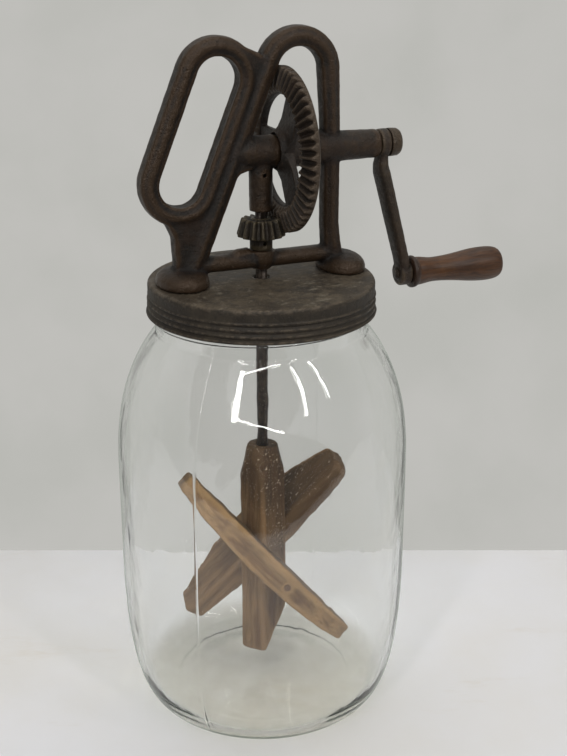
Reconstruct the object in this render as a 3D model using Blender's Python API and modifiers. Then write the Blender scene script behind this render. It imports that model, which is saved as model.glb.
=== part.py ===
"""Hand cranked butter churn: a glass jar, a tin screw lid with a cast iron frame on it, a crank
that turns a bevel gear pair, and a wooden dasher on the driven shaft inside the jar.

The origin is the centre of the jar's foot on the table. +Z is up, and the crank points to +X."""

import math

import bmesh
import bpy
from mathutils import Matrix, Vector

# Jar, in metres
jar_radius = 0.080
jar_wall = 0.0032
jar_floor = 0.0062
jar_heel_height = 0.0870
jar_heel_inset = 0.0200
jar_shoulder_start = 0.1388
jar_shoulder_length = 0.0872
jar_shoulder_tuck = 0.0070
jar_neck_radius = 0.0570
jar_neck_height = 0.0263
jar_rim_round = 0.0014

# Lid
lid_room = 0.0025
lid_height = 0.01645
lid_sheet = 0.0009
lid_corner = 0.0034
lid_hole_room = 0.0031
lid_bead = 0.0009

# Frame casting: places to the left and right of the dasher's axis, rises over the lid or the crank's axis
bar_half_width = 0.0048
bar_half_depth = 0.0065
arch_half_width = 0.0052
loop_bend = 0.0164
loop_top_left = 0.0236
loop_top_rise = 0.0373
loop_low_left = 0.0443
loop_low_drop = 0.0135
arch_bend = 0.0170
arch_right = 0.0202
arch_rise = 0.0399
leg_low_left = 0.0355
leg_low_rise = 0.0158
leg_end_left = 0.0425
leg_end_rise = 0.0027
post_half_width = 0.0045
post_half_depth = 0.0061
post_right = 0.0388
post_bow = 0.0300
post_bend_rise = 0.0165
web_thickness = 0.0080
web_round = 0.0022
web_notch_left = 0.0015
web_notch_rise = 0.0493
web_loop_left = 0.0160
web_loop_rise = 0.0555
web_edge_left = 0.0478
web_edge_rise = 0.0267
web_shoulder_left = 0.0560
web_shoulder_rise = 0.0407
crossbar_rise = 0.0097
crossbar_half_height = 0.0040
crossbar_half_depth = 0.0055
oil_pad_left = 0.0185
oil_pad_inset = 0.0070
oil_pad_half_height = 0.0028
lower_bearing_radius = 0.0072
lower_bearing_rise = 0.0045
lower_bearing_length = 0.0105
upper_bearing_radius = 0.0061
upper_bearing_room = 0.0037
upper_bearing_rise = 0.0055
cross_boss_radius = 0.0083
cross_boss_right = 0.0085
cross_boss_left = 0.0150
boss_root_radius = 0.0081
boss_root_reach = 0.0012
boss_end_radius = 0.0074
boss_length = 0.0424
foot_left = 0.0439
foot_right = 0.0460
foot_half_length = 0.0122
foot_half_width = 0.0180
foot_height = 0.0095
foot_edge = 0.0020
oil_hole_radius = 0.0011
oil_hole_drop = 0.0115

# Foot screws
screw_offset = 0.0100
screw_radius = 0.00175
screw_reach = 0.0053
screw_head_radius = 0.0036
screw_head_height = 0.0021
washer_radius = 0.0046
washer_thickness = 0.0009

# Gear pair
gear_heel_radius = 0.0424
tooth_above = 0.00147
tooth_below = 0.00175
pinion_tooth_above = 0.0013
pinion_tooth_below = 0.00185
tooth_play = 0.00022
gear_rim_width = 0.0134
gear_rim_depth = 0.0038
gear_web_inset = 0.0006
gear_web_thickness = 0.0034
gear_hub_radius = 0.0088
gear_hub_length = 0.0134
gear_window_inset = 0.0008
gear_spoke_half = 0.0087
gear_window_round = 0.0024
gear_pin_inset = 0.0035
pinion_hub_radius = 0.0060
pinion_hub_rise = 0.0008
pinion_core_radius = 0.0052
pinion_neck = 0.0061
pinion_pin_rise = 0.0036
pin_radius = 0.0011
spacer_radius = 0.0064
spacer_thickness = 0.0010

# Crank
crank_throw = 0.0732
crank_shaft_radius = 0.0043
crank_shaft_overrun = 0.0072
arm_half_thickness = 0.0037
arm_half_width = 0.0070
arm_set = 0.0007
arm_eye_radius = 0.0074
arm_eye_thickness = 0.0056
arm_straight = 0.0150
arm_offset = 0.0145
arm_foot_radius = 0.0069
arm_foot_thickness = 0.0070
nut_radius = 0.0072
nut_length = 0.0054
nut_crown = 0.0020
nut_round = 0.0012
nut_washer_radius = 0.0070
nut_washer_thickness = 0.0011

# Grip
grip_length = 0.0567
grip_flange = 0.0090
grip_waist = 0.0069
grip_belly = 0.0097
grip_end = 0.0062
grip_pin_radius = 0.00165
grip_pin_head = 0.0032
grip_pin_head_height = 0.0009
grip_pin_nub = 0.0024
grip_pin_nub_height = 0.0021

# Dasher
dasher_shaft_radius = 0.0031
dasher_shaft_drop = 0.0105
shaft_end_room = 0.0012
post_side = 0.0193
post_edge = 0.0018
post_floor_room = 0.0133
post_length = 0.1315
post_top_radius = 0.0084
post_taper_height = 0.0230
post_toe_height = 0.0310
post_heel_height = 0.0055
post_socket = 0.0270
post_pin_drop = 0.0110
post_pin_half = 0.0092
blade_rise = 0.0588
blade_shift = 0.0050
blade_half_length = 0.0640
blade_thickness = 0.0110
blade_end_thickness = 0.0074
blade_inner = 0.0045
blade_middle_width = 0.0355
blade_end_width = 0.0190
blade_round = 0.0055
blade_edge = 0.0009
nail_radius = 0.0009
nail_head = 0.0019
nail_head_height = 0.0006
nail_place = 0.0070
nail_tip = 0.0008

# Clearances
gap = 0.0003
running_clearance = 0.00035
pin_clearance = 0.0003
screw_clearance = 0.0003
cutter_margin = 0.0060
weld_distance = 0.000002
screw_merge = 0.00001

# Angles in degrees, counts, and shares of the sizes above
tooth_count = 52
pinion_tooth_count = 14
pressure_angle = 25
window_count = 3
window_turn = 30
dasher_rest_turn = -22.5
blade_tilt = 47.5
blade_roll = 18
jar_steps = 36
jar_bands = 8
lid_ripples = 4
foot_bands = 5
round_steps = 20
fine_steps = 14
small_steps = 10
bend_steps = 8
edge_steps = 2
section_points = 10
heel_power = 2.37
shoulder_power = 2.61
shoulder_ease = 1.2
band_crowding = 1.6
crest_power = 1.3
web_arch_share = 0.9
web_top_share = 0.8
web_top_rise_share = 0.6
oil_pad_slope_share = 0.7
oil_pad_depth_share = 0.8
screw_crown_share = 0.6
gear_toe_share = 0.74
pinion_toe_share = 0.818
pinion_heel_share = 1.038
pinion_back_share = 0.78
arm_taper_shares = (0.72, 0.72, 1, 0.92, 0.9)
grip_pin_crown_share = 0.6
grip_pin_head_share = 0.8
grip_flange_share = 0.05
grip_waist_share = 0.26
grip_belly_share = 0.84
grip_steps = 4
overrun_share = 0.2
slot_share = 1.5
smooth_angle = 35

# Places that follow from the sizes above, from the jar up
jar_shoulder_inner = jar_neck_radius - jar_shoulder_tuck
neck_share = jar_shoulder_tuck / (jar_radius - jar_shoulder_inner)
neck_rise_share = (1 - neck_share**shoulder_ease) ** (1 / shoulder_power)
neck_start = jar_shoulder_start + jar_shoulder_length * neck_rise_share
jar_rim_height = neck_start + jar_neck_height
lid_radius = jar_neck_radius + lid_room + lid_sheet
lid_top = jar_rim_height + gap + lid_sheet
lid_hole_radius = dasher_shaft_radius + lid_hole_room
screw_top = lid_top + screw_reach
crossbar_z = lid_top + crossbar_rise
lower_bearing_bottom = lid_top + lower_bearing_rise
lower_bearing_top = lower_bearing_bottom + lower_bearing_length

# The gear pair sets the height of the crank's axis over the pinion's hub
pinion_heel_radius = gear_heel_radius * pinion_tooth_count / tooth_count
pinion_cone = math.atan2(pinion_tooth_count, tooth_count)
pinion_root_depth = gear_heel_radius + pinion_tooth_below * math.sin(pinion_cone)
pinion_front = pinion_root_depth * pinion_toe_share
pinion_back = pinion_root_depth * pinion_heel_share + gap
pinion_bottom = lower_bearing_top + gap
crank_height = pinion_bottom + pinion_neck + pinion_back
pinion_top = crank_height - pinion_front + pinion_hub_rise
pinion_pin_z = pinion_bottom + pinion_pin_rise
upper_bearing_bottom = pinion_top + upper_bearing_room
upper_bearing_top = crank_height + upper_bearing_rise
dasher_shaft_top = crank_height - dasher_shaft_drop

# Along the crank's axis, outwards from the dasher's axis
gear_hub_front = cross_boss_right + gap + spacer_thickness + gap
gear_hub_back = gear_hub_front + gear_hub_length
gear_pin_x = gear_hub_back - gear_pin_inset
gear_back = pinion_heel_radius + gear_rim_depth
gear_web_back = gear_back - gear_web_inset
gear_web_front = gear_web_back - gear_web_thickness
gear_rim_inner = gear_heel_radius - gear_rim_width
gear_window_reach = gear_rim_inner - gear_window_inset
boss_inner_end = gear_hub_back + gap
boss_end = boss_inner_end + boss_length
arm_eye_start = boss_end + gap
nut_washer_start = arm_eye_start + arm_eye_thickness + gap
nut_start = nut_washer_start + nut_washer_thickness + gap
crank_shaft_outer = nut_start + nut_length - nut_crown
arm_foot_start = arm_eye_start + arm_offset
grip_start = arm_foot_start + arm_foot_thickness + gap

# Corners of the frame in the upright plane through both axes
loop_top = (-loop_top_left, crank_height + loop_top_rise)
loop_low = (-loop_low_left, crank_height - loop_low_drop)
arch_centre = (arch_right, crank_height + arch_rise)
leg_low = (-leg_low_left, lid_top + leg_low_rise)
leg_end = (-leg_end_left, lid_top + leg_end_rise)

# Dasher, up from the jar's floor
post_bottom = jar_floor + post_floor_room
post_top = post_bottom + post_length
dasher_shaft_bottom = post_top - post_socket
post_pin_z = post_top - post_pin_drop
blade_height = post_bottom + blade_rise

iron_roughness = 0.62
tin_roughness = 0.60
glass_roughness = 0.05
wood_roughness = 0.70
grip_roughness = 0.55
steel_roughness = 0.50

iron_colour = (0.060, 0.042, 0.032, 1.0)
tin_colour = (0.200, 0.175, 0.140, 1.0)
glass_colour = (0.780, 0.840, 0.800, 1.0)
wood_colour = (0.210, 0.130, 0.070, 1.0)
grip_colour = (0.230, 0.105, 0.050, 1.0)
steel_colour = (0.120, 0.100, 0.085, 1.0)

VERTICAL = Vector((0, 0, 1))
LENGTHWISE = Vector((1, 0, 0))
ACROSS = Vector((0, 1, 0))


def clear_scene():
    for scene_object in list(bpy.data.objects):
        bpy.data.objects.remove(scene_object, do_unlink=True)


def new_collection(name, hidden=False):
    collection = bpy.data.collections.new(name)
    bpy.context.scene.collection.children.link(collection)
    collection.hide_render = hidden
    return collection


clear_scene()
churn = new_collection("butter_churn")
cutters = new_collection("cutters", hidden=True)


def new_material(name, colour, roughness, metallic, transmission=0):
    material = bpy.data.materials.new(name)
    material.use_nodes = True
    surface = material.node_tree.nodes["Principled BSDF"]
    surface.inputs["Base Color"].default_value = colour
    surface.inputs["Roughness"].default_value = roughness
    surface.inputs["Metallic"].default_value = metallic
    surface.inputs["Transmission Weight"].default_value = transmission
    material.diffuse_color = colour
    return material


def link_mesh(name, mesh):
    item = bpy.data.objects.new(name, mesh)
    churn.objects.link(item)
    return item


def baked(source):
    """The source's evaluated shape as a plain mesh object with its points welded."""
    bpy.context.view_layer.update()
    graph = bpy.context.evaluated_depsgraph_get()
    mesh = bpy.data.meshes.new_from_object(source.evaluated_get(graph))
    mesh.transform(source.matrix_world)
    shape = bmesh.new()
    shape.from_mesh(mesh)
    bmesh.ops.remove_doubles(shape, verts=shape.verts, dist=weld_distance)
    bmesh.ops.recalc_face_normals(shape, faces=shape.faces)
    shape.to_mesh(mesh)
    shape.free()
    name = source.name
    bpy.data.objects.remove(source, do_unlink=True)
    return link_mesh(name, mesh)


def boolean(target, other, operation):
    modifier = target.modifiers.new(operation.title(), "BOOLEAN")
    modifier.operation = operation
    modifier.solver = "EXACT"
    modifier.object = other


def joined(target, *others):
    """The target with the other shapes fused to it."""
    for other in others:
        boolean(target, other, "UNION")
    result = baked(target)
    for other in others:
        bpy.data.objects.remove(other, do_unlink=True)
    return result


def cut(target, *tools):
    """The target less the tools, which stay in the cutters collection."""
    for tool in tools:
        boolean(target, tool, "DIFFERENCE")
        if tool.name not in cutters.objects:
            churn.objects.unlink(tool)
            cutters.objects.link(tool)
            tool.hide_render = True
            tool.display_type = "WIRE"
    return baked(target)


def moved(item, matrix):
    item.data.transform(matrix)
    return item


def turned(name, profile, steps, ring=False, sheet=0):
    """A shape of revolution about Z. The profile's outer side runs from top to bottom.

    With a sheet thickness the profile is an open line, and the shape is a shell inside it."""
    mesh = bpy.data.meshes.new(name)
    edges = [(i, i + 1) for i in range(len(profile) - 1)]
    if ring:
        edges.append((len(profile) - 1, 0))
    mesh.from_pydata([(radius, 0, z) for radius, z in profile], edges, [])
    item = link_mesh(name, mesh)
    screw = item.modifiers.new("Screw", "SCREW")
    screw.steps = steps
    screw.render_steps = steps
    screw.use_merge_vertices = True
    screw.merge_threshold = screw_merge
    if sheet:
        shell = item.modifiers.new("Solidify", "SOLIDIFY")
        shell.thickness = sheet
        shell.offset = -1
    return baked(item)


def rod(name, radius, start, end, steps=round_steps, direction=VERTICAL, centre=(0, 0, 0)):
    """A round bar between two stations along a direction through the centre."""
    item = turned(name, [(0, end), (radius, end), (radius, start), (0, start)], steps)
    turn = VERTICAL.rotation_difference(direction).to_matrix().to_4x4()
    return moved(item, Matrix.Translation(centre) @ turn)


def ring(name, inner, outer, start, end, steps=round_steps):
    profile = [(inner, start), (inner, end), (outer, end), (outer, start)]
    return turned(name, profile, steps, ring=True)


def arc(centre, radius, start, end, steps):
    """Points on an arc, angles in radians."""
    angles = [start + (end - start) * i / steps for i in range(steps + 1)]
    return [(centre[0] + radius * math.cos(a), centre[1] + radius * math.sin(a)) for a in angles]


def plane_curve(name, points, cyclic):
    """A polyline drawn in the upright XZ plane."""
    data = bpy.data.curves.new(name, "CURVE")
    data.dimensions = "2D"
    spline = data.splines.new("POLY")
    spline.points.add(len(points) - 1)
    for point, place in zip(spline.points, points):
        point.co = (place[0], place[1], 0, 1)
    spline.use_cyclic_u = cyclic
    item = bpy.data.objects.new(name, data)
    item.rotation_euler = (math.pi / 2, 0, 0)
    churn.objects.link(item)
    return item


def crested_section(half_width, half_depth):
    """The section of a cast bar: rounded edges, and a crest along its front and its back."""
    points = []
    for i in range(section_points):
        turn = math.tau * i / section_points
        depth = math.copysign(abs(math.sin(turn)) ** crest_power, math.sin(turn))
        points.append((half_width * math.cos(turn), half_depth * depth))
    item = plane_curve("bar_section", points, True)
    item.rotation_euler = (0, 0, 0)
    return item


def swept_bar(name, path, half_width, half_depth, cyclic=False, taper_shares=()):
    """A cast bar along a path. The taper gives the share of the full section at each point."""
    section = crested_section(half_width, half_depth)
    item = plane_curve(name, path, cyclic)
    for point, share in zip(item.data.splines[0].points, taper_shares):
        point.radius = share
    item.data.fill_mode = "NONE"
    item.data.bevel_mode = "OBJECT"
    item.data.bevel_object = section
    item.data.use_fill_caps = not cyclic
    bar = baked(item)
    bpy.data.objects.remove(section, do_unlink=True)
    return bar


def rounded_outline(corners, radius, steps):
    """The polygon's outline with its sharp corners turned into arcs."""
    points = []
    for i, corner in enumerate(corners):
        here = Vector(corner)
        back = (Vector(corners[i - 1]) - here).normalized()
        ahead = (Vector(corners[(i + 1) % len(corners)]) - here).normalized()
        half = back.angle(ahead) / 2
        if 2 * half > math.pi - math.radians(smooth_angle):
            points.append(corner)
            continue
        centre = here + (back + ahead).normalized() * radius / math.sin(half)
        first = here + back * radius / math.tan(half) - centre
        last = here + ahead * radius / math.tan(half) - centre
        turn = math.atan2(first.x * last.y - first.y * last.x, first.dot(last))
        for step in range(steps + 1):
            points.append(tuple(centre + Matrix.Rotation(turn * step / steps, 2) @ first))
    return points


def plate(name, outline, thickness, rounding=0, steps=edge_steps):
    """A flat plate in the XZ plane, centred on it, with its edges rounded."""
    item = plane_curve(name, outline, True)
    item.data.fill_mode = "BOTH"
    item.data.extrude = thickness / 2
    item = baked(item)
    if rounding:
        bevel = item.modifiers.new("Bevel", "BEVEL")
        bevel.width = rounding
        bevel.segments = steps
        bevel.limit_method = "ANGLE"
        bevel.angle_limit = math.radians(smooth_angle)
        item = baked(item)
    return item


# Jar
def shoulder_radius(z):
    share = (z - jar_shoulder_start) / jar_shoulder_length
    drop = (1 - share**shoulder_power) ** (1 / shoulder_ease)
    return jar_shoulder_inner + (jar_radius - jar_shoulder_inner) * drop


def heel_radius(z):
    share = 1 - z / jar_heel_height
    return jar_radius - jar_heel_inset * (1 - (1 - share**heel_power) ** (1 / heel_power))


def jar_outside():
    """The jar's outer profile from its rim down to the middle of its base."""
    points = [(jar_neck_radius, jar_rim_height - jar_rim_round)]
    for i in range(jar_bands + 1):
        share = 1 - (i / jar_bands) ** band_crowding
        z = jar_shoulder_start + (neck_start - jar_shoulder_start) * share
        points.append((shoulder_radius(z), z))
    for i in range(jar_bands):
        z = jar_heel_height * (1 - i / jar_bands) ** band_crowding
        points.append((heel_radius(z), z))
    return points + [(jar_radius - jar_heel_inset, 0), (0, 0)]


def jar_inside(outside):
    """The bore, from the middle of the floor up to the rim: the outer profile drawn in by the wall."""
    points = []
    for (radius, z), (next_radius, next_z) in zip(outside[1:-1], outside[2:]):
        slope = Vector((next_radius - radius, next_z - z)).normalized()
        points.append((radius + jar_wall * slope.y, z - jar_wall * slope.x))
    points = [point for point in points if point[1] > jar_floor + jar_wall]
    points += [(points[-1][0] - jar_wall, jar_floor), (0, jar_floor)]
    points.reverse()
    return points + [(jar_neck_radius - jar_wall, jar_rim_height - jar_rim_round)]


def glass_jar():
    outside = jar_outside()
    rim = [
        (jar_neck_radius - jar_wall + jar_rim_round, jar_rim_height),
        (jar_neck_radius - jar_rim_round, jar_rim_height),
    ]
    return turned("glass_jar", jar_inside(outside) + rim + outside, jar_steps)


# Lid
def tin_lid():
    """A pressed screw cap: a flat top, a skirt with rolled ripples, and a flared lip."""
    corner_z = lid_top - lid_corner
    profile = [(lid_hole_radius, lid_top)]
    profile += arc((lid_radius - lid_corner, corner_z), lid_corner, math.pi / 2, 0, edge_steps + 1)
    for i in range(1, 2 * lid_ripples + 1):
        bulge = lid_bead * (i % 2 or i == 2 * lid_ripples)
        profile.append((lid_radius + bulge, corner_z - (lid_height - lid_corner) * i / (2 * lid_ripples)))
    lid = turned("tin_lid", profile, jar_steps, sheet=lid_sheet)
    holes = []
    for x, y in screw_places():
        radius = screw_radius + screw_clearance
        bottom, top = lid_top - cutter_margin, lid_top + cutter_margin
        holes.append(rod("lid_screw_hole", radius, bottom, top, small_steps, centre=(x, y, 0)))
    return cut(lid, *holes)


def screw_places():
    return [(x, side * screw_offset) for x in (-foot_left, foot_right) for side in (-1, 1)]


# Frame casting
def leg_direction():
    return (Vector(loop_top) - Vector(loop_low)).normalized()


def handle_loop():
    """The carrying loop at the left: two round ends joined by straight sides."""
    lean = math.atan2(leg_direction().y, leg_direction().x)
    top = arc(loop_top, loop_bend, lean - math.pi / 2, lean + math.pi / 2, bend_steps)
    low = arc(loop_low, loop_bend, lean + math.pi / 2, lean + 1.5 * math.pi, bend_steps)
    return swept_bar("handle_loop", top + low, bar_half_width, bar_half_depth, cyclic=True)


def arch_and_leg():
    """One bar from the left foot up the slanted leg and over the arch to the right post."""
    lean = math.atan2(leg_direction().y, leg_direction().x)
    over = arc(arch_centre, arch_bend, lean + math.pi / 2, 0, bend_steps)
    path = [leg_end, leg_low] + over
    path.append((arch_right + arch_bend, crank_height + post_bow / 2))
    return swept_bar("cast_frame", path, arch_half_width, bar_half_depth)


def right_post():
    path = [
        (arch_right + arch_bend, crank_height + post_bow),
        (post_right, crank_height),
        (post_right, crossbar_z + post_bend_rise),
        (foot_right - bar_half_width, lid_top + foot_height / 2),
    ]
    return swept_bar("right_post", path, post_half_width, post_half_depth)


def web_plates():
    """The thinner webs that fill the corners between the loop, the arch and the leg."""
    side = leg_direction().yx * loop_bend
    top_x, top_z = loop_top
    low_x, low_z = loop_low
    upper = [
        (-web_loop_left, crank_height + web_loop_rise),
        (-web_notch_left, crank_height + web_notch_rise),
        (arch_right - arch_bend * web_arch_share, crank_height + arch_rise),
        upper_web_low(),
        (low_x + side.x, low_z - side.y),
        (top_x + side.x, top_z - side.y),
        (top_x + loop_bend * web_top_share, top_z + loop_bend * web_top_rise_share),
    ]
    lower = [
        (-web_shoulder_left, lid_top + web_shoulder_rise),
        (low_x, low_z - loop_bend),
        (low_x + loop_bend, low_z - loop_bend / 2),
        leg_low,
        leg_end,
        (-web_edge_left, lid_top + foot_height / 2),
        (-web_edge_left, lid_top + web_edge_rise),
        (-web_edge_left - bar_half_width / 2, lid_top + web_edge_rise + bar_half_width),
    ]
    return [plate("upper_web", upper, web_thickness), plate("lower_web", lower, web_thickness, web_round)]


def upper_web_low():
    """The point of the leg's centre line that is level with the loop's lower centre."""
    along = leg_direction()
    return tuple(Vector(leg_low) + along * (loop_low[1] - leg_low[1]) / along.y)


def frame_foot(x):
    """An oval domed pad under a leg."""
    half = foot_half_length
    crown = foot_height - foot_edge
    profile = [(0, foot_height)]
    for i in range(1, foot_bands + 1):
        turn = math.pi / 2 * (1 - i / foot_bands)
        profile.append((half * math.cos(turn), foot_edge + crown * math.sin(turn)))
    profile += [(half, 0), (0, 0)]
    foot = turned("foot", profile, round_steps)
    widen = Matrix.Diagonal((1, foot_half_width / foot_half_length, 1, 1))
    return moved(foot, Matrix.Translation((x, 0, lid_top + gap)) @ widen)


def crank_boss():
    """The long bearing sleeve for the crank shaft, through the right post."""
    profile = [
        (0, boss_end),
        (boss_end_radius, boss_end),
        (boss_root_radius, post_right + boss_root_reach),
        (boss_root_radius, boss_inner_end),
        (0, boss_inner_end),
    ]
    boss = turned("crank_boss", profile, round_steps)
    return moved(boss, axis_matrix())


def axis_matrix():
    """Turns a shape built about its own Z to the crank's axis. Its +X comes to point down."""
    return Matrix.Translation((0, 0, crank_height)) @ Matrix.Rotation(math.pi / 2, 4, "Y")


def frame_bearings():
    cross = rod(
        "cross_boss", cross_boss_radius, -cross_boss_left, cross_boss_right, direction=LENGTHWISE,
        centre=(0, 0, crank_height),
    )
    upper = rod("upper_bearing", upper_bearing_radius, upper_bearing_bottom, upper_bearing_top)
    lower = rod("lower_bearing", lower_bearing_radius, lower_bearing_bottom, lower_bearing_top)
    return [cross, upper, lower]


def crossbar():
    path = [(-leg_low_left, crossbar_z), (post_right, crossbar_z)]
    return swept_bar("crossbar", path, crossbar_half_height, crossbar_half_depth)


def oil_pad():
    """A low swelling on the crossbar beside the lower bearing."""
    z = crossbar_z + crossbar_half_height
    path = [
        (-oil_pad_left, z - oil_pad_half_height),
        (-oil_pad_left * oil_pad_slope_share, z),
        (-oil_pad_inset, z),
    ]
    return swept_bar("oil_pad", path, oil_pad_half_height, crossbar_half_depth * oil_pad_depth_share)


def cast_frame():
    shapes = [handle_loop(), right_post(), *web_plates(), frame_foot(-foot_left), frame_foot(foot_right)]
    shapes += [crossbar(), oil_pad(), *frame_bearings(), crank_boss()]
    frame = joined(arch_and_leg(), *shapes)
    crank_bore = rod(
        "crank_bore", crank_shaft_radius + running_clearance, -crank_shaft_overrun - shaft_end_room,
        boss_end + cutter_margin, fine_steps, LENGTHWISE, (0, 0, crank_height),
    )
    dasher_bore = rod(
        "dasher_bore", dasher_shaft_radius + running_clearance, lid_top, dasher_shaft_top + shaft_end_room,
        fine_steps,
    )
    oil_hole = rod(
        "oil_hole", oil_hole_radius, 0, upper_bearing_radius + cutter_margin, small_steps, -ACROSS,
        (0, 0, crank_height - oil_hole_drop),
    )
    holes = []
    for x, y in screw_places():
        radius = screw_radius + screw_clearance
        holes.append(
            rod("foot_screw_hole", radius, lid_top - gap, screw_top + gap, small_steps, centre=(x, y, 0))
        )
    return cut(frame, crank_bore, dasher_bore, oil_hole, *holes)


def foot_screw(name, x, y):
    """A round headed screw up through the lid into a foot."""
    head_top = lid_top - lid_sheet - gap - washer_thickness - gap
    profile = [(0, screw_top), (screw_radius, screw_top), (screw_radius, head_top)]
    profile += [(screw_head_radius, head_top), (screw_head_radius, head_top - screw_head_height / 3)]
    profile.append((screw_head_radius * screw_crown_share, head_top - screw_head_height))
    profile.append((0, head_top - screw_head_height))
    return moved(turned(name, profile, small_steps), Matrix.Translation((x, y, 0)))


def foot_washer(name, x, y):
    top = lid_top - lid_sheet - gap
    hole = screw_radius + screw_clearance
    washer = ring(name, hole, washer_radius, top - washer_thickness, top, fine_steps)
    return moved(washer, Matrix.Translation((x, y, 0)))


# Gear pair
def half_tooth(height, cone_radius, virtual_radius, thickness):
    """Half the tooth's width at a height over the pitch cone, as an angle about the axis."""
    pressure = math.radians(pressure_angle)
    base = virtual_radius * math.cos(pressure)
    reach = max(virtual_radius + height, base)
    slant = math.acos(base / reach)
    opened = math.tan(slant) - slant - (math.tan(pressure) - pressure)
    return (thickness / (2 * virtual_radius) - opened) * virtual_radius / cone_radius


def bevel_teeth(name, teeth, cone, heel_radius_now, above, below, shares, blank, heights, shift):
    """A toothed ring about Z with its pitch cone's tip at the origin and its back towards +Z.

    The blank gives the ring's inner radius, the inner edge's front, the outer edge and the back."""
    pitch = math.tau * heel_radius_now / teeth
    thickness = pitch / 2 - tooth_play
    distance = heel_radius_now / math.sin(cone)
    virtual = heel_radius_now / math.cos(cone)
    rises = [-below + (above + below) * i / heights for i in range(heights + 1)]
    stations = []
    for rise in rises:
        stations.append((-half_tooth(rise, heel_radius_now, virtual, thickness), rise))
    for rise in reversed(rises):
        stations.append((half_tooth(rise, heel_radius_now, virtual, thickness), rise))
    inner_radius, inner_front, outer_radius, back = blank
    shape = bmesh.new()
    rings = []
    for tooth in range(teeth):
        for turn, rise in stations:
            angle = math.tau * (tooth + shift) / teeth + turn
            places = []
            for share in shares:
                radius = (distance * math.sin(cone) + rise * math.cos(cone)) * share
                z = (distance * math.cos(cone) - rise * math.sin(cone)) * share
                places.append((radius, z))
            places += [(outer_radius, back), (inner_radius, back), (inner_radius, inner_front)]
            rings.append(
                [shape.verts.new((r * math.cos(angle), r * math.sin(angle), z)) for r, z in places]
            )
    for here, there in zip(rings, rings[1:] + rings[:1]):
        for i in range(len(here)):
            j = (i + 1) % len(here)
            shape.faces.new((here[i], here[j], there[j], there[i]))
    bmesh.ops.recalc_face_normals(shape, faces=shape.faces)
    mesh = bpy.data.meshes.new(name)
    shape.to_mesh(mesh)
    shape.free()
    return link_mesh(name, mesh)


def window_outline():
    """One opening of the gear's web: a wedge between two spokes, closed by an arc."""
    spread = math.pi / window_count
    tip = gear_spoke_half / math.sin(spread)
    half = spread - math.asin(gear_spoke_half / gear_window_reach)
    return [(tip, 0)] + arc((0, 0), gear_window_reach, -half, half, bend_steps)


def gear_windows():
    outline = rounded_outline(window_outline(), gear_window_round, edge_steps)
    windows = []
    for i in range(window_count):
        turn = math.tau * i / window_count + math.radians(window_turn)
        window = plate("gear_window", outline, 2 * (gear_back + cutter_margin))
        upright = Matrix.Rotation(-math.pi / 2, 4, "X")
        windows.append(moved(window, Matrix.Rotation(turn, 4, "Z") @ upright))
    return windows


def drive_gear():
    """The large bevel gear: teeth that face the dasher's axis, a web with three openings, and a hub."""
    cone = math.pi / 2 - pinion_cone
    toe_front = pinion_heel_radius * gear_toe_share + tooth_below
    blank = (gear_rim_inner, toe_front, gear_heel_radius, gear_back)
    shares = (gear_toe_share, 1)
    gear = bevel_teeth(
        "drive_gear", tooth_count, cone, gear_heel_radius, tooth_above, tooth_below, shares, blank, 1, 0.5
    )
    web_radius = (gear_rim_inner + gear_heel_radius * gear_toe_share) / 2
    web = rod("gear_web", web_radius, gear_web_front, gear_web_back, jar_steps)
    hub = rod("gear_hub", gear_hub_radius, gear_hub_front, gear_hub_back)
    gear = joined(gear, web, hub)
    bore = rod(
        "gear_bore", crank_shaft_radius + pin_clearance, gear_hub_front - cutter_margin,
        gear_hub_back + cutter_margin, fine_steps,
    )
    pin_hole = rod(
        "gear_pin_hole", pin_radius + pin_clearance, -gear_hub_radius - cutter_margin,
        gear_hub_radius + cutter_margin, small_steps, ACROSS, (0, 0, gear_pin_x),
    )
    return cut(gear, bore, pin_hole, *gear_windows())


def pinion():
    """The small bevel gear on the dasher shaft, with its hub below the teeth."""
    blank = (pinion_core_radius, pinion_front, pinion_heel_radius * pinion_back_share, pinion_back)
    shares = (pinion_toe_share, pinion_heel_share)
    shift = dasher_rest_turn * pinion_tooth_count / 360
    toothed = bevel_teeth(
        "pinion", pinion_tooth_count, pinion_cone, pinion_heel_radius, pinion_tooth_above,
        pinion_tooth_below, shares, blank, 3, shift,
    )
    moved(toothed, Matrix.Translation((0, 0, crank_height)) @ Matrix.Rotation(math.pi, 4, "X"))
    toothed = joined(toothed, rod("pinion_hub", pinion_hub_radius, pinion_bottom, pinion_top))
    bore = rod(
        "pinion_bore", dasher_shaft_radius + pin_clearance, pinion_bottom - cutter_margin,
        pinion_top + cutter_margin, fine_steps,
    )
    return cut(toothed, bore, pinion_pin_hole())


def pinion_pin_hole():
    reach = pinion_hub_radius + cutter_margin
    radius = pin_radius + pin_clearance
    return rod("pinion_pin_hole", radius, -reach, reach, small_steps, ACROSS, (0, 0, pinion_pin_z))


def cross_pin(name, half_length, z):
    return rod(name, pin_radius, -half_length, half_length, small_steps, ACROSS, (0, 0, z))


def gear_spacer():
    start = cross_boss_right + gap
    hole = crank_shaft_radius + pin_clearance
    return ring("gear_spacer", hole, spacer_radius, start, start + spacer_thickness)


# Crank
def crank_shaft():
    shaft = rod("crank_shaft", crank_shaft_radius, -crank_shaft_overrun, crank_shaft_outer)
    hole = rod(
        "shaft_pin_hole", pin_radius + pin_clearance, -gear_hub_radius, gear_hub_radius, small_steps, ACROSS,
        (0, 0, gear_pin_x),
    )
    return cut(shaft, hole)


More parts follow.
